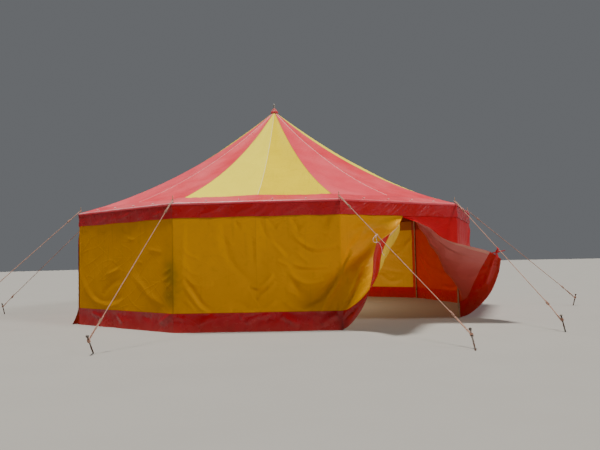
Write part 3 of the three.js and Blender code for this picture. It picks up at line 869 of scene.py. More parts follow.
POINT_COLUMNS = 14
SEAM_ROW = TOP_ROWS + 4 * THREAD_ROWS

row_z = np.concatenate([np.linspace(WALL_TOP, HANG_Z, TOP_ROWS, endpoint=False),
                        np.interp(np.arange(5 * THREAD_ROWS + 1) / THREAD_ROWS, range(6), THREAD_Z)])
print(len(row_z), "rows, with the seam at row", SEAM_ROW)


def flap_net(pole, threads):
    """The net of a tied-back wall from its pole to its free edge, before its folds."""
    foot = wall_xy(pole)
    middle = np.array([math.copysign(MEET, pole), -APOTHEM])

    def straight(z):
        return [(*(foot + share * (middle - foot)), z) for share in STRAIGHT_SHARES]

    lines = [straight(HANG_Z)] + [[(*foot, z), *line] for z, line in zip(THREAD_Z[1:], threads)]
    across = np.stack([spline(line, POINT_COLUMNS) for line in lines])
    below = spline(across, THREAD_ROWS)
    above = np.stack([spline(straight(z), POINT_COLUMNS) for z in row_z[:TOP_ROWS]])
    return np.concatenate([above, below])


# %% [markdown]
# The folds of a flap run along its threads and draw together at the tie, as they do in
# any curtain that is held back. So their height depends on which thread a point is on, and
# it dies away at the pole and at the free edge.

# %% Relief of the flaps
FLAP_FOLD = {-18: 0.007, 18: 0.014}  # how deep the folds of each flap are
FLAP_SEED = 50
FLAP_WIDE = 1.95


def flap_relief(pole, ridges):
    """How far each point of a flap's net moves outwards."""
    rows = np.clip(np.arange(len(row_z)) - TOP_ROWS, 0, None)[:, None] / THREAD_ROWS
    columns = np.arange(5 * POINT_COLUMNS + 1)[None, :] / POINT_COLUMNS
    grow = np.clip(columns / 1.5, 0, 1) * np.clip((5.25 - columns) / 1.2, 0, 1)
    fall = np.clip(rows / 0.8, 0, 1)
    waves = np.sin(TURN * (1.25 * rows + 0.16 * columns) + 1.3 * np.sin(columns + abs(pole)))
    fine = ripple(columns * 0.45, rows * 0.6, pole + FLAP_SEED, 0.9, 0.25)
    folds = ridge_field(columns / 5 * FLAP_WIDE, row_z[:, None], ridges)
    return folds * np.clip(columns / 0.4, 0.25, 1) + FLAP_FOLD[pole] * (waves + 0.35 * fine) * grow * fall


print("a flap is", FLAP_WIDE, "m wide")

# %% [markdown]
# A flat face billows a little inwards, is held along its poles, and its skirt spreads outwards
# to the ground. Away from the entrance one section laps over the next, and the loose end
# behind the left pole swings out.

# %% Relief of the flat faces
BILLOW = 0.022
HELD = 0.14  # wide, along each pole
SKIRT_FLARE = 0.045
LAP = 1.4  # degrees that a front section runs on past its last pole
LAP_LIFT = 0.006  # how far a lap stands off the cloth that it covers, or that covers it
LEFT_END = 269.6  # the bearing where the loose end behind the left pole is
SPACING = {True: 0.025, False: 0.045}  # of the columns, on the two front faces and on the others


def face_relief(u, z, ridges, seed):
    """How far the points of one flat face move outwards, u from its left pole."""
    hung = np.clip((WALL_TOP - z) / 0.35, 0, 1)
    billow = BILLOW * np.sin(math.pi * (u / FACE)) * np.sin(math.pi * np.clip(z / WALL_TOP, 0, 1))
    soft = 0.007 * ripple(u, z * 0.8, seed, 1.6, 0.4)
    push = (ridge_field(u, z, ridges) - billow + soft) * hung
    held = np.clip(np.minimum(u, FACE - u) / HELD, 0, 1)
    push = push * np.where(push < 0, held, 0.3 + 0.7 * held)
    flare = SKIRT_FLARE + 0.018 * ripple(u, z * 0, seed + 7, 0.9, 0.3)
    return push + np.clip(1 - z / SEAM_Z, 0, 1) ** 2 * flare * (0.5 + 0.5 * held)


def swung_out(u, z):
    """The loose end of the section behind the left pole: a lap that bulges and a skirt that kicks out."""
    to_end = u - wall_u(LEFT_END)
    lap = 0.03 * np.exp(-(to_end / 0.12) ** 2) * np.clip((HANG_Z - z) / 0.4, 0, 1)
    return lap + 0.11 * np.clip(1 - z / SEAM_Z, 0, 1) ** 1.3 * np.exp(-(to_end / 0.22) ** 2)


def face_net(start, stop, ridges, seed, seen):
    """The net of one flat face, or part of one, and each column's place along the outline."""
    foot, end = wall_xy(start), wall_xy(stop)
    share = np.linspace(0, 1, max(1, round(np.linalg.norm(end - foot) / SPACING[seen])) + 1)
    u = wall_u(start) + share * (wall_u(stop) - wall_u(start))
    net = np.empty((len(row_z), len(share), 3))
    net[:, :, :2] = foot + share[:, None] * (end - foot)
    net[:, :, 2] = row_z[:, None]
    from_pole = np.broadcast_to(u - math.floor(u.min() / FACE + ROUNDING) * FACE, net.shape[:2])
    relief = face_relief(from_pole, net[:, :, 2], ridges, seed) + swung_out(u, net[:, :, 2])
    if stop - start < 2 * LAP:
        relief = relief + (-LAP_LIFT * share[::-1] if start < -90 else LAP_LIFT * share)
    return net + relief[:, :, None] * face_ways(corner_of(start))[0], u


print("a skirt spreads by", SKIRT_FLARE, "m")

# %% [markdown]
# The folds of the front can be seen, so they are placed one by one on the picture itself. It
# was enlarged, and each fold was followed in a few steps. Such a pick gives only a
# line of sight, but the wall behind it is flat, and a line meets a flat wall in one point. So
# every pick becomes metres from the face's left pole and above the ground. The eye's place
# and turn have more digits here than the camera needs, so that no place is a centimetre off.

# %% From the picture to the wall
PICTURE_WIDE = 600  # in pixels
PICTURE_HIGH = 450
FOCAL = LENS / FILM_WIDE * PICTURE_WIDE
SIGHT_FROM = np.array([-9.776329, -16.053573, 1.5846])
SIGHT_TURN = math.radians(33.6)
SIGHT_AHEAD = Vector((math.sin(SIGHT_TURN) * math.cos(PITCH), math.cos(SIGHT_TURN) * math.cos(PITCH),
                      math.sin(PITCH)))
SIGHT = SIGHT_AHEAD.to_track_quat("-Z", "Y") @ Quaternion((0, 0, 1), ROLL)


def on_face(pick, crop, corner):
    """A pick on an enlarged crop, as metres from a face's left pole and above the ground."""
    left, top, zoom = crop
    aside = left + pick[0] / zoom - PICTURE_WIDE / 2
    below = top + pick[1] / zoom - PICTURE_HIGH / 2
    way = np.array(SIGHT @ Vector((aside / FOCAL, -below / FOCAL, -1)))
    out, along = face_ways(corner)
    hit = SIGHT_FROM + way * (APOTHEM - SIGHT_FROM @ out) / (way @ out)
    return round(hit @ along + FACE / 2, 2), round(hit[2], 2)


def ridges_on_face(picks, crop, corner):
    """Picked ridges, with their lines on a face."""
    return [([on_face(pick, crop, corner) for pick in line], width, tall) for line, width, tall in picks]


FRONT_CORNER = (FIRST - STEP) % 360
SIDE_CORNER = (FIRST - 2 * STEP) % 360
print("the picture's top left corner falls at", on_face((0, 0), (0, 0, 1), FRONT_CORNER), "on its plane")

# %% [markdown]
# The front face has short creases that meet like herringbone beside the stained pole, swags
# below the slack top, rungs where the cloth is creased, and the long fold that runs down from
# the tie of the left flap. Each is a line of picks, then a width and a height in metres, and a
# negative height is a valley.

# %% Folds of the front face
FRONT_CROP = (160, 200, 8)  # its left and top in the picture, and how many times it was enlarged
FRONT_PICKS = [
    ([(182, 440), (100, 485)], 0.028, 0.009),
    ([(182, 510), (95, 562)], 0.03, 0.011),
    ([(182, 590), (95, 650)], 0.03, 0.012),
    ([(180, 655), (95, 715)], 0.028, 0.01),
    ([(180, 730), (95, 790)], 0.03, 0.012),
    ([(150, 830), (100, 875)], 0.028, 0.012),
    ([(190, 170), (185, 350), (180, 520), (185, 700)], 0.05, 0.012),
    ([(185, 400), (230, 440), (310, 470)], 0.035, 0.016),
    ([(190, 520), (245, 585), (310, 600)], 0.035, 0.014),
    ([(188, 590), (250, 665), (330, 690), (420, 655)], 0.045, 0.022),
    ([(190, 690), (250, 770), (320, 860), (400, 905)], 0.05, 0.03),
    ([(200, 640), (270, 740), (340, 840), (430, 900)], 0.05, -0.024),
    ([(190, 790), (240, 845), (280, 900)], 0.035, 0.016),
    ([(500, 170), (515, 330), (545, 450), (620, 560), (720, 650), (800, 690)], 0.07, -0.014),
    ([(450, 170), (470, 400), (520, 520)], 0.08, 0.008),
    ([(765, 200), (765, 400), (770, 560)], 0.06, 0.007),
    ([(740, 300), (745, 520)], 0.05, -0.01),
    ([(590, 165), (640, 240)], 0.05, -0.016),
    ([(530, 320), (590, 365)], 0.04, 0.014),
    ([(385, 165), (365, 200)], 0.04, -0.012),
    ([(790, 150), (855, 280), (930, 350), (1035, 440)], 0.055, -0.017),
    ([(830, 220), (900, 330), (1010, 470)], 0.05, 0.017),
    ([(850, 150), (925, 225)], 0.04, -0.014),
    ([(925, 225), (1000, 160)], 0.04, 0.014),
    ([(1050, 140), (1110, 250)], 0.045, -0.016),
    ([(1110, 250), (1190, 185)], 0.04, 0.014),
    ([(1040, 260), (1105, 322), (1180, 372), (1240, 390), (1400, 372)], 0.045, 0.026),
    ([(1110, 350), (1200, 410), (1300, 415), (1440, 385)], 0.05, -0.015),
    ([(1130, 272), (1270, 268), (1400, 262)], 0.03, 0.01),
    ([(1080, 410), (1130, 455), (1185, 500)], 0.04, 0.015),
    ([(930, 480), (985, 510), (1035, 530)], 0.035, 0.022),
    ([(820, 500), (870, 488), (925, 480)], 0.03, 0.014),
    ([(1050, 500), (1130, 530), (1230, 540), (1345, 532)], 0.035, 0.026),
    ([(1040, 550), (1150, 555), (1370, 550)], 0.035, -0.018),
    ([(1030, 575), (1090, 635), (1200, 668), (1310, 640)], 0.055, 0.034),
    ([(1050, 650), (1110, 730), (1200, 790)], 0.08, -0.03),
    ([(905, 590), (855, 650), (800, 700), (720, 700)], 0.04, 0.034),
    ([(700, 690), (790, 728), (860, 695)], 0.05, -0.022),
    ([(925, 655), (860, 720), (775, 795)], 0.045, 0.026),
    ([(930, 600), (1000, 592)], 0.02, 0.01),
    ([(925, 640), (995, 630)], 0.02, 0.01),
    ([(930, 680), (1000, 668)], 0.02, 0.01),
    ([(925, 720), (985, 706)], 0.02, 0.01),
    ([(1000, 720), (1100, 765)], 0.035, 0.014),
    ([(930, 800), (860, 855), (760, 895), (650, 905)], 0.045, 0.034),
    ([(560, 875), (640, 835), (710, 860)], 0.07, -0.022),
    ([(980, 800), (1060, 860), (1190, 890)], 0.05, 0.02),
    ([(1510, 420), (1440, 560), (1340, 710), (1240, 800), (1130, 850)], 0.07, -0.06),
    ([(1475, 560), (1400, 690), (1330, 820), (1285, 900)], 0.055, 0.052),
    ([(1500, 690), (1440, 800), (1395, 890)], 0.045, -0.028),
    ([(1515, 820), (1460, 860), (1420, 895)], 0.04, 0.02),
    ([(690, 990), (760, 940), (880, 915)], 0.05, 0.022),
    ([(830, 985), (890, 930)], 0.04, -0.016),
    ([(970, 920), (1040, 960), (1110, 1000)], 0.06, 0.024),
    ([(1290, 1000), (1350, 950), (1420, 915)], 0.06, 0.026),
    ([(650, 915), (660, 960)], 0.03, 0.016),
    ([(120, 930), (200, 960)], 0.05, 0.014),
    ([(300, 1000), (420, 930)], 0.06, 0.016),
]
FRONT_RIDGES = ridges_on_face(FRONT_PICKS, FRONT_CROP, FRONT_CORNER)
print(len(FRONT_RIDGES), "ridges on the front face, the first from", FRONT_RIDGES[0][0][0])

# %% [markdown]
# The face left of it is pulled less. One long swag hangs from its far pole, and short rungs
# stand beside the stained one.

# %% Folds of the side face
SIDE_CROP = (72, 205, 10)
SIDE_PICKS = [
    ([(80, 620), (120, 800), (200, 930), (320, 990), (460, 985)], 0.09, 0.02),
    ([(200, 900), (300, 962), (410, 962), (500, 905)], 0.07, -0.015),
    ([(300, 900), (380, 800), (480, 740)], 0.07, -0.015),
    ([(340, 700), (470, 640)], 0.05, 0.016),
    ([(900, 690), (1000, 620)], 0.03, 0.01),
    ([(900, 770), (1000, 690)], 0.03, 0.01),
    ([(930, 830), (1000, 770)], 0.03, 0.01),
    ([(950, 925), (1000, 890)], 0.03, 0.009),
    ([(760, 450), (900, 475)], 0.05, 0.012),
    ([(540, 335), (620, 350)], 0.04, 0.014),
    ([(600, 700), (760, 900), (900, 1010)], 0.09, 0.016),
    ([(640, 560), (700, 580)], 0.04, 0.01),
    ([(500, 180), (540, 300)], 0.06, -0.014),
    ([(700, 180), (650, 260)], 0.05, 0.012),
    ([(200, 1080), (300, 1120)], 0.05, 0.016),
    ([(450, 1100), (520, 1180)], 0.05, 0.018),
    ([(700, 1100), (800, 1150)], 0.06, -0.014),
    ([(880, 1180), (1000, 1090)], 0.05, 0.02),
]
SIDE_RIDGES = ridges_on_face(SIDE_PICKS, SIDE_CROP, SIDE_CORNER)
print(len(SIDE_RIDGES), "ridges on the side face")

# %% [markdown]
# The flaps have folds that run towards their ties. A flap isn't flat, so here a place is how
# far it is from the flap's pole along its threads, and the height that its row had before it
# was drawn back. Those of the left flap were followed in the picture, matched with the
# nearest points of its net, and then adjusted. Those of the right flap are freer.

# %% Folds of the flaps
LEFT_FLAP_RIDGES = [
    ([(0.72, 2.45), (0.64, 2.3), (0.56, 2.09), (0.42, 1.85), (0.22, 1.7)], 0.05, -0.018),
    ([(0.56, 2.3), (0.45, 2.15)], 0.04, -0.014),
    ([(0.4, 1.76), (0.33, 1.67), (0.17, 1.5), (-0.02, 1.33)], 0.06, -0.042),
    ([(0.45, 1.73), (0.31, 1.56), (0.06, 1.27), (-0.05, 1.1)], 0.055, 0.034),
    ([(0.28, 1.13), (0.14, 1.02), (0.0, 0.93)], 0.04, -0.02),
    ([(0.67, 1.41), (0.56, 1.1), (0.45, 0.87), (0.28, 0.65), (0.0, 0.51)], 0.045, 0.03),
    ([(0.64, 1.01), (0.53, 0.79), (0.36, 0.62), (0.0, 0.46)], 0.04, -0.024),
    ([(0.75, 1.5), (0.61, 1.3)], 0.035, 0.014),
    ([(0.81, 1.3), (0.7, 1.3)], 0.03, 0.01),
    ([(0.84, 1.1), (0.72, 1.01)], 0.03, -0.012),
    ([(0.98, 2.33), (0.84, 2.21), (0.67, 2.12)], 0.07, 0.016),
    ([(0.98, 2.06), (0.89, 1.94), (0.78, 1.88)], 0.06, -0.012),
    ([(0.0, 0.31), (0.33, 0.38), (0.64, 0.4)], 0.05, 0.018),
    ([(0.0, 0.16), (0.17, 0.24), (0.58, 0.31)], 0.05, -0.014),
]
RIGHT_FLAP_RIDGES = [
    ([(1.86, 2.3), (1.88, 1.2), (1.9, 0.2)], 0.04, 0.02),
    ([(1.7, 2.3), (1.72, 1.3), (1.78, 0.4)], 0.05, -0.028),
    ([(1.5, 2.3), (1.6, 1.3), (1.74, 0.4)], 0.05, 0.026),
    ([(1.2, 2.2), (1.4, 1.2), (1.68, 0.36)], 0.06, -0.024),
    ([(0.9, 2.0), (1.15, 1.0), (1.6, 0.3)], 0.06, 0.024),
    ([(0.7, 1.6), (1.0, 0.8), (1.55, 0.22)], 0.05, -0.018),
    ([(0.1, 0.9), (0.4, 0.7), (0.8, 0.62)], 0.05, 0.014),
    ([(1.0, 0.35), (1.3, 0.2), (1.6, 0.3)], 0.05, -0.016),
    ([(1.93, 0.24), (1.7, 0.22), (1.3, 0.19)], 0.04, -0.05),
    ([(1.94, 0.1), (1.65, 0.07), (1.25, 0.07)], 0.05, 0.036),
]
print(len(LEFT_FLAP_RIDGES) + len(RIGHT_FLAP_RIDGES), "ridges on the flaps")

# %% [markdown]
# A section is laid face by face, in the order of the bearings, and its flap comes first or
# last. All faces share their rows, so their nets are put side by side as one.

# %% Nets of the sections
PULLED_SEED = 300
FACE_SEED = 400
RIGHT_END = 90.2 + LAP  # bearings where the sections' other loose ends are
BACK_END = 180.5
CHOSEN = {FRONT_CORNER: FRONT_RIDGES, SIDE_CORNER: SIDE_RIDGES}
SECTIONS = {  # colour, the bearings where its faces start and stop, and its flap
    "front_left": ("yellow", [-90 - LAP, -90, -54, -18], (-18, LEFT_THREADS, LEFT_FLAP_RIDGES)),
    "front_right": ("red", [18, 54, 90, RIGHT_END], (18, RIGHT_THREADS, RIGHT_FLAP_RIDGES)),
    "back_right": ("yellow", [90 + LAP, 126, 162, 180, BACK_END], None),
    "back_left": ("red", [180, 198, 234, LEFT_END], None),
}


def flap_columns(pole, threads, ridges):
    """A flap's finished net, and its columns' places along the outline, in the order of the bearings."""
    net = flap_net(pole, threads)
    relief = flap_relief(pole, ridges)
    share = np.arange(net.shape[1]) / (net.shape[1] - 1)
    u = wall_u(pole) - math.copysign(1, pole) * share * FLAP_WIDE
    if pole > 0:
        net, relief, u = net[:, ::-1], relief[:, ::-1], u[::-1]
    return net - relief[:, :, None] * inward(net), u


def section(stops, flap):
    """The whole net of a quarter section, cloth and skirt, with its columns' places."""
    faces = []
    for start, stop in zip(stops, stops[1:]):
        corner = corner_of(start) % 360
        ridges = CHOSEN.get(corner) or pulled_face(PULLED_SEED + corner)
        faces.append(face_net(start, stop, ridges, FACE_SEED + corner, corner in CHOSEN))
    if flap:
        faces.insert(0 if flap[0] > 0 else len(faces), flap_columns(*flap))
    nets = [faces[0][0]] + [net[:, 1:] for net, _ in faces[1:]]
    places = [faces[0][1]] + [u[1:] for _, u in faces[1:]]
    return np.concatenate(nets, axis=1), np.concatenate(places)


print(", ".join(SECTIONS), "are the sections")

# %% [markdown]
# One net makes both cloth and skirt: it is cut at the seam, and the skirt starts half a row
# higher and a few millimetres further out, as a welded strip does. Each point's marks are its
# place along and up the cloth, and how far it is from the cloth's nearer end.

# %% The four sections
SKIRT_LAP = 0.004


def marks_of(u, v):
    """The cloth marks of a net with these columns and rows."""
    across, down = np.meshgrid(u, v)
    edge = np.minimum(np.abs(across - u[0]), np.abs(across - u[-1]))
    return np.stack([across, down, edge], axis=2)


for name, (colour, stops, flap) in SECTIONS.items():
    net, u = section(stops, flap)
    marks = marks_of(u, row_z)
    wall = cloth_piece(f"{name}_wall", net[:SEAM_ROW + 1], marks[:SEAM_ROW + 1],
                       [cloths[f"wall_{colour}"], cloths[f"inner_{colour}"]],
                       [f"wall_{name}"])
    lap = SKIRT_LAP * inward(net)
    skirt_net = net[SEAM_ROW - 1:] - lap[SEAM_ROW - 1:]
    skirt_net[0] = 0.5 * (net[SEAM_ROW - 1] + net[SEAM_ROW]) - lap[SEAM_ROW]
    skirt = cloth_piece(f"{name}_skirt", skirt_net, marks[SEAM_ROW - 1:],
                        [cloths["hem"], cloths["inner_hem"]], [f"hem_{name}"])
    wide, high = round(abs(u[-1] - u[0]), 2), round(WALL_TOP - SEAM_Z, 2)
    print(name, net.shape[:2], f"{wide} m wide")

# %% [markdown]
# The roof is ten faces of two cuts each. A face could be a flat triangle, but real cloth
# sags between its seams and is drawn up along them, so each half leans its own way and takes
# the light differently. Small puckers sit along the seams, where the thread gathers the
# cloth, and wider ones where the corners pull.

# %% Height of the roof
MID_LIFT = 0.065
GORE_SAG = 0.030


def roof_height(radius, side, seed):
    """Height of a face at a corner radius, and a share of the way from its middle to its seams."""
    reach = radius * math.sin(HALF)
    across = side * reach
    up = (EAVE_R - radius) * math.cos(HALF)
    body = np.sin(math.pi * np.clip(radius / EAVE_R, 0, 1)) ** 0.8
    lift = MID_LIFT * (1 - np.abs(side)) ** 1.4 * body
    sag = -GORE_SAG * np.sin(math.pi * np.abs(side)) ** 2 * body
    to_edge = (1 - np.abs(side)) * reach
    pucker = (np.exp(-to_edge / 0.10) + np.exp(-(across / 0.10) ** 2)) * np.clip(up / 0.1, 0, 1)
    small = 0.004 * pucker * np.sin(up * TURN / 0.11 + 2.0 * ripple(across, up, seed, 2.0, 0.6))
    pulled = 0.016 * np.exp(-up / 0.7) * (1 - np.exp(-up / 0.2)) * np.abs(side) ** 3
    pulled = pulled * np.sin(across * 26 + seed)
    wide = 0.012 * ripple(across * 1.6, up * 0.5, seed + 3, 1.8, 0.5) * body
    return roof_z(radius) + lift + (sag + small + pulled + wide) * np.clip(to_edge / 0.03, 0, 1)


print(f"half way up, the middle of a face is {roof_height(EAVE_R / 2, 0.0, 0):.2f} m high")

# %% [markdown]
# The rows of a face are closer together near the peak, where the roof is steepest. Near the
# eave a face dips a little, because the border is sewn over it there.

# %% Roof faces
ROOF_ROWS = 84
ROOF_COLUMNS = 44
CROWDED = 1.15  # above 1, the rows stand closer together near the peak
TOP_R = 0.062
DIP_R = 5.52  # from here on, a face dips below the border that is sewn over it
DIP_WIDE = 0.08
DIP = 0.012
ROOF_SEED = 30


def roof_net(corner, seed):
    """The face of the roof that starts at a corner, from the peak down, with its marks."""
    radius = TOP_R + (EAVE_R - TOP_R) * np.linspace(0, 1, ROOF_ROWS + 1)[:, None] ** CROWDED
    side = np.linspace(-1, 1, ROOF_COLUMNS + 1)[None, :]
    reach = radius * math.sin(HALF)
    out, along = face_ways(corner)
    net = (radius * math.cos(HALF))[:, :, None] * out + (side * reach)[:, :, None] * along
    net[:, :, 2] = roof_height(radius, side, seed) - DIP * np.clip((radius - DIP_R) / DIP_WIDE, 0, 1)
    down = distances(net[:, ROOF_COLUMNS // 2])
    up = np.broadcast_to((down[-1] - down)[:, None], net.shape[:2])
    return net, np.stack([side * reach, up, (1 - np.abs(side)) * reach], axis=2)


for i, corner in enumerate(CORNERS):
    colour = "red" if i % 2 == 0 else "yellow"
    net, marks = roof_net(corner, ROOF_SEED + i)
    panel = cloth_piece(f"roof_face_{i + 1:02d}", net, marks,
                        [cloths[f"roof_{colour}"], cloths[f"inner_roof_{colour}"]],
                        [f"roof_panel_{i + 1:02d}"])
print("ten roof faces,", ROOF_ROWS, "by", ROOF_COLUMNS)

# %% [markdown]
# A wide red border is sewn round the foot of the roof, over every face, and rolls over
# the edge onto the valance. Drawing it as its own strip gives the real step in
# thickness and the bright line along the roll, which its finish also paints as a sheen.

# %% Border
BORDER_FLAT = (18.55, 0.6)
BORDER_UP = 0.007
BORDER_THICK = 0.002
EAVE_ROUND = 0.022
ROLL_OUT = 0.008  # how far the roll stands out past the roof's edge
ROLL_DOWN = 0.035  # how far it then hangs straight down
FACE_COLUMNS = 92
HALVES = [("front_right", 0, 5 * FACE_COLUMNS + 1), ("back_left", 5 * FACE_COLUMNS, 10 * FACE_COLUMNS + 1)]


def around(rows_of_face):
    """A closed strip round the tent; rows_of_face(i, side) gives each face's (apothem, z) rows."""
    side = np.linspace(-1, 1, FACE_COLUMNS + 1)
    faces = []
    for i, corner in enumerate(CORNERS):
        out, along = face_ways(corner)
        apothem, z = rows_of_face(i, side[None, :])
        net = apothem[:, :, None] * out + (side * apothem * math.tan(HALF))[:, :, None] * along
        net[:, :, 2] = z
        faces.append(net[:, :-1])
    net = np.concatenate([*faces, faces[0][:, :1]], axis=1)
    return net, np.arange(net.shape[1]) * FACE / FACE_COLUMNS


def border_rows(i, side):
    """The border on one face: up the roof, over the edge in a quarter turn, and straight down."""
    radius = np.linspace(BORDER_R, EAVE_R - EAVE_ROUND, 13)[:, None]
    z = roof_height(radius, side, ROOF_SEED + i) + BORDER_UP
    turn = (math.pi / 2 * np.array([0.2, 0.4, 0.6, 0.8, 1, 1]))[:, None]
    below = np.array([0, 0, 0, 0, 0, ROLL_DOWN])[:, None]
    outer = radius[-1] + (EAVE_ROUND + ROLL_OUT) * np.sin(turn) / math.cos(HALF)
    z = np.concatenate([z, z[-1] - EAVE_ROUND * (1 - np.cos(turn)) - below])
    return np.concatenate([radius, outer]) * math.cos(HALF) * np.ones_like(z), z


border_net, u = around(border_rows)
border_v = BORDER_FLAT[1] - distances(border_net[:, FACE_COLUMNS // 2])
for name, start, stop in HALVES:
    strip = cloth_piece(f"{name}_border", border_net[:, start:stop], marks_of(u[start:stop], border_v),
                        [cloths["border"]], thick=BORDER_THICK)
print("border,", border_net.shape)

# %% [markdown]
# The valance hangs straight down from the eave. Its top seam draws it up here and there,
# the corners pull slanting creases into it, and it waves a little at its free edge.

# %% Valance
VALANCE_THICK = 0.003
VALANCE_IN = 0.002  # from the roof's edge
VALANCE_TOP = EAVE_Z - 0.018
VALANCE_ROWS = 14
VALANCE_SEED = 600
WAVE_SEED = 83
valance_z = np.linspace(VALANCE_TOP, VALANCE_Z, VALANCE_ROWS)[:, None]


def valance_rows(i, side):
    """The valance on one face: pulls from its top seam, soft waves, and a wavy free edge."""
    along = (i + side / 2 + 0.5) * FACE
    hang = (EAVE_Z - valance_z) / VALANCE_DROP
    draw = np.random.default_rng(VALANCE_SEED + i)
    pulls = []
    for start in draw.uniform(0.1, 3.0, 5):
        end = (start + draw.uniform(0.25, 0.8), draw.uniform(2.76, 2.84))
        pulls.append((bow((start, draw.uniform(2.52, 2.6)), end, 0.03), 0.03, draw.uniform(0.006, 0.012)))
    folds = ridge_field((side + 1) / 2 * FACE, valance_z, pulls)
    push = 0.005 * ripple(along, valance_z, WAVE_SEED, 0.9, 0.25) * hang
    push = push + 0.006 * hang * np.sin(along * TURN / 0.62 + ripple(along, hang, WAVE_SEED + 1, 3, 1))
    from_corner = (1 - np.abs(side)) * FACE / 2
    push = push + 0.007 * np.exp(-from_corner / 0.10) * np.sin(30 * (valance_z + from_corner))
    foot = np.clip(hang - 0.9, 0, 1) * 0.05 * np.sin(along * TURN / FACE * 3)
    return APOTHEM + OVERHANG - VALANCE_IN + np.clip(push + folds, -0.006, 0.024), valance_z + foot


valance_net, u = around(valance_rows)
for name, start, stop in HALVES:
    marks = marks_of(u[start:stop], valance_z[:, 0])
    strip = cloth_piece(f"{name}_valance", valance_net[:, start:stop], marks,
                        [cloths["valance"], cloths["inner_hem"]], ["valance"], VALANCE_THICK)
print("valance,", valance_net.shape)

# %% [markdown]
# Ropes, stakes, eyelets and the turns of a knot are all circles about some line. Three small
# helpers give a direction without its length, two ways square to it, and places on a circle.

# %% Ways and circles
def unit(way):
    """The same direction with length 1, or several of them."""
    return way / np.linalg.norm(way, axis=-1, keepdims=True)


def square_to(axis, hint):
    """Two unit vectors square to an axis and to each other; the hint only settles which."""
    side = unit(np.cross(axis, hint))
    return side, np.cross(axis, side)


def circle(angle, side, other):
    """Points at these angles on a circle of radius 1 between two ways."""
    return np.cos(angle)[..., None] * side + np.sin(angle)[..., None] * other


print("two ways square to the king pole:", *square_to(UP, [1, 0, 0]))

# %% [markdown]
# A laid rope is three strands wound about each other. One tube with a twisted bump would do
# from afar, but a rope's outline is knobbly, so each strand is a tube of its own that
# winds round the rope's line. The same call makes the legs, the knots and the turns round the
# stake, because a knot is only the rope's own line wound round another.

# %% Laid rope
STRAND_OUT = 0.47  # how far a strand's middle is from the rope's, as a share of the rope's radius
STRAND_R = 0.53  # a strand's own radius, as a share of the rope's


def laid_rope(line, radius, pitch, sides=6):
    """Points and faces of a three-strand rope along a line."""
    along = distances(line)
    steps = max(4, round(along[-1] / (pitch / 6)))
    at = np.linspace(0, along[-1], steps + 1)
    line = np.stack([np.interp(at, along, line[:, k]) for k in range(3)], axis=1)
    ahead = unit(np.gradient(line, axis=0))
    up = np.cross(ahead[0], [0.3, 0.2, 1.0])
    ups = []
    for way in ahead:
        up = unit(up - way * (up @ way))
        ups.append(up)
    ups = np.array(ups)
    beside = np.cross(ahead, ups)
    ring = np.arange(sides) * TURN / sides
    points, faces = [], []
    for strand in range(3):
        phase = at / pitch * TURN + strand * TURN / 3
        middle = line + STRAND_OUT * radius * circle(phase, ups, beside)
        around_it = STRAND_R * radius * circle(ring, ups[:, None], beside[:, None])
        points.append((middle[:, None] + around_it).reshape(-1, 3))
        faces += tube_faces(steps + 1, sides, strand * (steps + 1) * sides)
    return np.concatenate(points), faces


def coil(start, axis, radius, turns, length, begin=0.0, per_turn=14):
    """A line that winds round an axis from start."""
    axis = unit(np.asarray(axis))
    share = np.linspace(0, 1, max(8, round(turns * per_turn)))
    winding = circle(begin + share * turns * TURN, *square_to(axis, [0.13, 0.2, 1.0]))
    return np.asarray(start) + share[:, None] * length * axis + radius * winding


def joined(parts):
    """Several lots of points and faces as one."""
    points, faces, base = [], [], 0
    for some, theirs in parts:
        points.append(some)
        faces += [[base + k for k in face] for face in theirs]
        base += len(some)
    return np.concatenate(points), faces


print("a metre of rope has", len(laid_rope(np.array([[0, 0, 0], [0, 1.0, 0]]), 0.01, 0.08)[1]), "faces")

# %% [markdown]
# Each guy runs from the pin of a side pole to a stake of its own. Four stakes can be seen and
# stand a little askew, each in its own way. The others stand and lean outwards as one would
# drive them in.

# %% Where the guys go
LOOP_Z = 2.93
STAKE_Z = 0.34
STAKE_FOOT_R = 8.77  # from the king pole, where no stake can be seen
STAKE_HEAD_R = 8.86
HITCH = 0.72  # of the way up the stake
OWN_STAKES = {  # foot on the ground, and how far the head leans
    -54: ((-7.010, -5.261), (-0.157, -0.200)),
    -18: ((-1.979, -9.414), (0.150, 0.230)),
    18: ((1.138, -9.022), (-0.064, 0.041)),
    54: ((6.559, -5.815), (0.060, -0.060)),
}


def stake_ends(bearing):
    """Foot and head of a stake."""
    bearing = (bearing + 180) % 360 - 180
    if bearing in OWN_STAKES:
        (x, y), (dx, dy) = OWN_STAKES[bearing]
        return np.array([x, y, 0]), np.array([x + dx, y + dy, STAKE_Z])
    return polar(bearing, STAKE_FOOT_R, 0), polar(bearing, STAKE_HEAD_R, STAKE_Z)


def guy_ends(bearing):
    """Where a guy is made fast: at the pin of its side pole, and at its stake."""
    foot, head = stake_ends(bearing)
    return polar(bearing, POLE_PITCH_R, LOOP_Z), foot + HITCH * (head - foot)


print("the first guy spans", round(math.dist(*guy_ends(FIRST)), 2), "m")

# %% [markdown]
# Each guy starts as a loop on the pin of a side pole. Its two legs run down to a knot,
# where the end is wound round the standing rope. From there one rope runs to the stake,
# takes two and a half turns round it, comes back up and is made fast to itself with another
# winding.

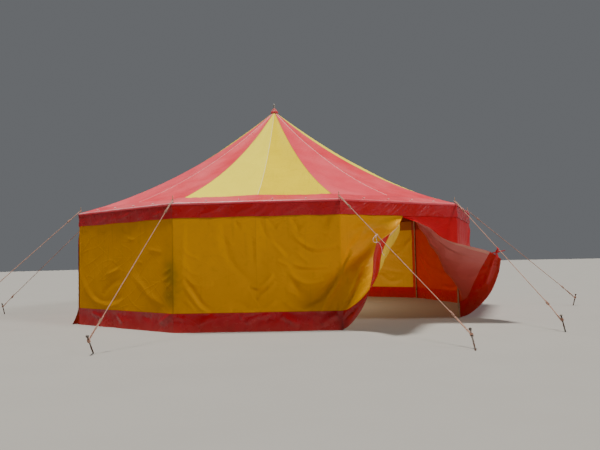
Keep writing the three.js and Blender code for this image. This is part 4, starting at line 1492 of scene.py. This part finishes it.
# %% Guy ropes
ROPE_R = 0.0095
PITCH_OF_LAY = 0.075
PIN_R = 0.008
LOOP_R = PIN_R + ROPE_R + 0.001
KNOT = (4.5, 0.085)  # turns, and how long they are together
STAKE_TURNS = (2.5, 0.055)
WINDING = (4.0, 0.08)
UPPER_KNOT = 0.09  # places on the way from the pin to the stake
LOWER_KNOT = 0.90
KNOT_R = 1.9 * ROPE_R
BESIDE = 1.02 * ROPE_R  # from the middle line to a rope that runs along it
STAKE_R = 0.014


def guy_line_path(bearing):
    """The whole route of one guy rope, from its upper knot to the end of its lower winding."""
    foot, head = stake_ends(bearing)
    pin, hitch = guy_ends(bearing)
    way = unit(hitch - pin)
    side = unit(np.cross(way, UP))
    lift = np.cross(side, way)
    upper = pin + UPPER_KNOT * (hitch - pin)
    lower = pin + LOWER_KNOT * (hitch - pin)
    back = -unit(np.array([way[0], way[1], 0]))
    loop = pin + LOOP_R * circle(np.linspace(-math.pi / 2, math.pi / 2, 12), back, side)
    legs = [upper - side * BESIDE, *loop, upper + side * BESIDE]
    knot = coil(upper + way * 0.01, way, KNOT_R, *KNOT, math.pi)
    main = [upper + way * 0.105 + side * ROPE_R, upper + way * 0.16, lower - way * 0.02,
            lower - side * BESIDE]
    turns = coil(hitch - (head - foot) / STAKE_Z * 0.03, head - foot, STAKE_R + ROPE_R, *STAKE_TURNS)
    tail = [hitch + side * BESIDE * 2, lower + side * BESIDE]
    winding = coil(lower, -way, KNOT_R, *WINDING, 0.5)
    end = [winding[-1] + lift * 0.02 - way * 0.02, winding[-1] + lift * 0.03 - way * 0.09 - UP * 0.03]
    return np.concatenate([legs, knot, main, turns, tail, winding, end])


rope_count = 0
for i, corner in enumerate(CORNERS):
    points, faces = laid_rope(guy_line_path(corner), ROPE_R, PITCH_OF_LAY)
    as_piece(f"guy_rope_{i + 1:02d}", points, faces, [rope_fibre], [f"guy_line_{i + 1:02d}"])
    rope_count += len(faces)
print("ten guys,", rope_count, "faces")

# %% [markdown]
# A stake is a round bar that leans. Years of hammering have spread its head into a mushroom
# with a torn rim. It is rings of points from foot to head, and the rings of the head go in
# and out by two waves that differ from stake to stake.

# %% Stakes
STAKE_SIDES = 20
STAKE_SEED = 500
STAKE_PROFILE = [(1.0, 0.0), (1.02, 0.2), (1.0, 0.45), (0.98, 0.7), (1.0, 0.86), (1.15, 0.91), (1.75, 0.925),
                 (1.95, 0.945), (1.85, 0.965), (1.35, 0.985), (0.7, 0.997), (0.2, 1.0)]
BURR = (0.9, 0.99)  # the part of the way up that is torn
BAR_WEAR = 0.12  # how much of that unevenness the rest of the bar shows


def stake(foot, head, lobes, start):
    """Points and faces of one stake; lobes says how deep the tears of its head are."""
    side, other = square_to(unit(head - foot), [0.2, 1.0, 0.1])
    angle = np.arange(STAKE_SIDES) * TURN / STAKE_SIDES
    waves = np.sin(3 * angle + start) + 0.6 * np.sin(5 * angle + 2 * start)
    rings = []
    for radius, share in STAKE_PROFILE:
        torn = 1.0 if BURR[0] < share < BURR[1] else BAR_WEAR
        r = radius * STAKE_R * (1 + torn * lobes * waves)
        rings.append(foot + share * (head - foot) + r[:, None] * circle(angle, side, other))
    points = np.concatenate(rings)
    points[:, 2] = np.maximum(points[:, 2], 0)
    return points, tube_faces(len(rings), STAKE_SIDES)


for i, corner in enumerate(CORNERS):
    draw = np.random.default_rng(STAKE_SEED + i)
    lobes, start = draw.uniform(0.05, 0.13), draw.uniform(0, 6)
    points, faces = stake(*stake_ends(corner), lobes, start)
    as_piece(f"stake_{i + 1:02d}", points, faces, [stake_steel], [f"guy_line_{i + 1:02d}"])
print("ten stakes")

# %% [markdown]
# The peak is closed by a small red cap of coated cloth. It is gathered into ten soft
# flutes by a cord round its waist, and the spike of the king pole stands out of it.

# %% Peak cap
CAP_PROFILE = [(0.034, 6.338), (0.040, 6.336), (0.052, 6.330), (0.062, 6.318), (0.060, 6.305),
               (0.068, 6.290), (0.088, 6.262), (0.106, 6.225), (0.112, 6.200), (0.108, 6.185)]
CAP_THICK = 0.003
CAP_MARKS = (0.6, 0.2)  # its width and height in the cloth's own weave
CAP_STEPS = 80
FLUTES = 10
FLUTE_DEEP = 0.07
WAIST_Z = 6.272
WAIST_R = 0.083
LASHING_R = 0.005
LASHING = (2.2, 0.012)  # turns, and how long they are together
THIN_LAY = 0.03  # the pitch of thin cord

angle = np.linspace(-TURN, 0, CAP_STEPS + 1)
rows = []
for radius, z in CAP_PROFILE:
    flute = 1 + FLUTE_DEEP * np.cos(FLUTES * angle) * np.clip((radius - 0.05) / 0.04, 0, 1)
    rows.append(np.stack([radius * flute * np.cos(angle), radius * flute * np.sin(angle),
                          np.full(angle.shape, z)], axis=1))
marks = marks_of(np.linspace(0, CAP_MARKS[0], CAP_STEPS + 1), np.linspace(CAP_MARKS[1], 0, len(rows)))
cap = cloth_piece("peak_cover", np.array(rows), marks, [cloths["cap"]], ["peak_cap"], CAP_THICK)
waist = coil((0, 0, WAIST_Z), UP, WAIST_R, *LASHING, per_turn=40)
points, faces = laid_rope(waist, LASHING_R, THIN_LAY)
as_piece("cap_lashing", points, faces, [cord_fibre])
print("cap over the peak")

# %% [markdown]
# The ribbon that ties the right flap is flat tape: a thin strip along a line, turned so that
# it lies against what it holds. A curve with a flat bevel would twist where the line turns
# sharply, so each point of the line says here which way the tape is wide.

# %% Flat tape
RIBBON_THICK = 0.0018


def tape(line, widths):
    """Points and faces of a closed flat strip along a line; widths are half sizes as vectors."""
    line, widths = np.asarray(line), np.broadcast_to(widths, np.shape(line))
    flat = np.cross(np.gradient(line, axis=0), widths)
    flat *= RIBBON_THICK / 2 / np.maximum(np.linalg.norm(flat, axis=1, keepdims=True), TINY)
    near_side, far_side = line - flat, line + flat
    rings = np.stack([near_side - widths, near_side + widths, far_side + widths, far_side - widths], axis=1)
    return rings.reshape(-1, 3), tube_faces(len(line), 4)


print("tape of two points has", len(tape([[0, 0, 0], [0, 0, 1.0]], [0.01, 0, 0])[1]), "faces")

# %% [markdown]
# The red ribbon goes round the guy, then down to the skirt's edge, where it is tied in a bow
# whose ends stick out.

# %% Ribbon of the right flap
RIBBON_HALF = 0.018  # half its width
KNOT_AT = 0.463  # of the way down the guy
HEM_KNOT = np.array([1.494, -7.152, 1.586])
RIGHT = np.array([0.833, -0.553, 0.0])
TO_EYE = np.array([-0.45, -0.85, 0.0])
LOOPS = ((58, 0.075), (-78, 0.125))  # which way each loop of the bow points, and how long it is
TAILS = ((0.20, 0.055, 0.012), (-0.17, -0.005, -0.02))  # aside, up, and how far it curls forwards

pin, hitch = guy_ends(18)
down_guy = unit(hitch - pin)
tie = pin + KNOT_AT * (hitch - pin)
parts = [tape(coil(tie - down_guy * 0.03, down_guy, ROPE_R + 0.003, 3.0, 0.06, per_turn=24),
              down_guy * RIBBON_HALF)]
bow_at = HEM_KNOT + TO_EYE * 0.014
for lean, size in LOOPS:
    reach = circle(np.radians(lean), RIGHT, UP) * size
    wide = unit(np.cross(reach, TO_EYE)) * 1.15 * RIBBON_HALF
    share = np.linspace(0, TURN, 28)[:, None]
    loop = bow_at + reach * (1 - np.cos(share)) / 2 + TO_EYE * 0.030 * np.sin(share)
    parts.append(tape(loop, wide * (0.25 + 0.75 * np.clip(np.sin(share / 2), 0, 1) ** 0.7)))
parts.append(tape(coil(bow_at - UP * 0.006, UP, 0.012, 1.6, 0.012, per_turn=20), UP * 0.011))
for shift in (-0.008, 0.008):
    strand = spline([tie + down_guy * shift - UP * 0.012, 0.5 * (tie + HEM_KNOT) + RIGHT * shift * 2,
                     HEM_KNOT], 6)
    parts.append(tape(strand, RIGHT * RIBBON_HALF * 0.8))
for aside, rise, curl in TAILS:
    tail = spline([bow_at, bow_at + RIGHT * 0.35 * aside + TO_EYE * 0.02 + UP * (0.4 * rise + 0.01),
                   bow_at + RIGHT * 0.7 * aside + TO_EYE * (0.014 + curl) + UP * 0.8 * rise,
                   bow_at + RIGHT * aside + TO_EYE * 0.02 + UP * rise], 8)
    parts.append(tape(tail, circle(np.linspace(0, 1.1, len(tail)), UP, TO_EYE) * RIBBON_HALF * 0.85))
points, faces = joined(parts)
as_piece("right_flap_ribbon", points, faces, [ribbon_weave], ["right_flap_tie"])
print("ribbon,", len(faces), "faces")

# %% [markdown]
# Steel eyelets take the pins at the corners, and smaller ones stand along the border, each
# with a short loop of white cord. They are flattened rings, and the smaller ones lie in the
# roof's own slope.

# %% Eyelets
FACE_EYELETS = 4
FROM_EAVE = 0.10
PIN_EYELET = (0.016, 0.006)  # radius of the ring and of its section
SMALL_EYELET = (0.012, 0.004)
EYELET_CORD_R = 0.0045
ARCH = [(0.0, 0.004, 0.0), (0.02, 0.0, 0.02), (0.05, 0.0, 0.012), (0.072, 0.0, 0.003),
        (0.04, 0.02, 0.012), (0.0, -0.004, 0.0)]  # of a cord: out from the eyelet, along and up


def ring(centre, normal, radius, thick, steps=20, sides=8):
    """Points and faces of a flattened torus."""
    normal = unit(normal)
    way = circle(np.arange(steps) * TURN / steps, *square_to(normal, [0.3, 1.0, 0.2]))
    b = np.arange(sides) * TURN / sides
    points = (centre + way[:, None] * (radius + thick * np.cos(b))[None, :, None]
              + normal * (thick * 0.6 * np.sin(b))[None, :, None])
    grid = np.arange(steps * sides).reshape(steps, sides)
    after = np.roll(grid, -1, axis=0)
    faces = quads(grid, after, np.roll(after, -1, axis=1), np.roll(grid, -1, axis=1))
    return points.reshape(-1, 3), faces.tolist()


slope = EAVE_SLOPE + 2 * ROOF_CURVE * (CORNER_R - POLE_PITCH_R)
apothem = APOTHEM - FROM_EAVE
radius = apothem / math.cos(HALF)
eyelets, cords = [], []
for i, corner in enumerate(CORNERS):
    pin = polar(corner, POLE_PITCH_R, roof_z(POLE_PITCH_R) + BORDER_UP + 0.003)
    eyelets.append(ring(pin, UP, *PIN_EYELET))
    out, along = face_ways(corner)
    tilt = out * slope + UP
    for k in range(1, FACE_EYELETS + 1):
        across = FACE * (k / (FACE_EYELETS + 1) - 0.5)
        centre = out * apothem + along * across
        height = roof_height(radius, across / (radius * math.sin(HALF)), ROOF_SEED + i)
        centre[2] = height + BORDER_UP + 0.002
        eyelets.append(ring(centre, tilt, *SMALL_EYELET))
        arch = spline([centre + a * out + b * along + c * tilt for a, b, c in ARCH], 4)
        cords.append(laid_rope(arch, EYELET_CORD_R, THIN_LAY, 5))
points, faces = joined(eyelets)
as_piece("roof_eyelets", points, faces, [tube])
points, faces = joined(cords)
as_piece("eyelet_cords", points, faces, [cord_fibre])
print(len(eyelets), "eyelets")

# %% [markdown]
# The king pole, the side poles, the base plate and the crown ring already have
# their right shape, so they keep it and only get a finish.

# %% Poles
for name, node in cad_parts.items():
    finish = {"king_pole": tube, "king_pole_base": plate_steel, "crown_ring": plate_steel}.get(name)
    if name.startswith("side_pole"):
        finish = pole_paint
    if finish:
        node.data.materials.clear()
        node.data.materials.append(finish)
print("poles finished")

# %% [markdown]
# The floor is plain and flat, and so wide that its edge stays far behind the tent. It lies a
# millimetre below the ground, so that it doesn't meet the feet of the skirts.

# %% Floor
FLOOR_R = 120.0
FLOOR_Z = -0.001
FLOOR_SIDES = 64

floor_mesh = bpy.data.meshes.new("floor")
rim = [tuple(polar(360 * k / FLOOR_SIDES, FLOOR_R, FLOOR_Z)) for k in range(FLOOR_SIDES)]
floor_mesh.from_pydata(rim, [], [tuple(range(FLOOR_SIDES))])
floor_finish = Finish("floor_finish", 0.9)
grain = floor_finish.noise(floor_finish.place(), 0.8, 4.0)
floor_mesh.materials.append(floor_finish.done(floor_finish.mix(grain, shade("9a9792"), shade("94918c"))))
set_up("floor", floor_mesh)
print("a floor with", FLOOR_SIDES, "sides")

# %% [markdown]
# The light is plain, so that the cloth can be judged. Lamps beside a thing of this size would
# leave bright pools on the floor, so both main lights come from very far away and are equally
# strong everywhere. One stands high behind the tent: it makes the roof bright and leaves the
# front walls in open shade. The other is lower, in front and to the right, and shows their
# folds. A warm lamp under the peak stands for the sun that the canvas lets through.

# %% Light
WHITE = (1.0, 1.0, 1.0)
FAR_WIDE = math.radians(11)  # how wide the far lights look in the sky, for soft shadows


def light(name, kind, place, towards, strength, tint=WHITE):
    """A light of that kind that shines from a place towards another."""
    lamp = bpy.data.lights.new(name, kind)
    lamp.energy = strength
    lamp.color = tint
    holder = set_up(name, lamp)
    aim(holder, place, Vector(towards) - Vector(place))
    return holder


overhead = light("overhead", "SUN", (-3.2, 4, 26), (0, 0, 2), 4.9, (1.0, 0.97, 0.90))
front_fill = light("front_fill", "SUN", (4.5, -17, 10), (-1, -4, 1.5), 1.55)
overhead.data.angle = FAR_WIDE
front_fill.data.angle = FAR_WIDE
inside = light("through_the_roof", "AREA", (0, 0.6, 4.2), (0, 1.0, 0), 290, (1.0, 0.80, 0.5))
inside.data.shape = "DISK"
inside.data.size = 3.0
inside.visible_camera = False
world = bpy.data.worlds.new("room")
world.use_nodes = True
sky = world.node_tree.nodes["Background"].inputs
sky["Color"].default_value = (0.86, 0.90, 0.96, 1)
sky["Strength"].default_value = 0.16
bpy.context.scene.world = world
print("three lights")
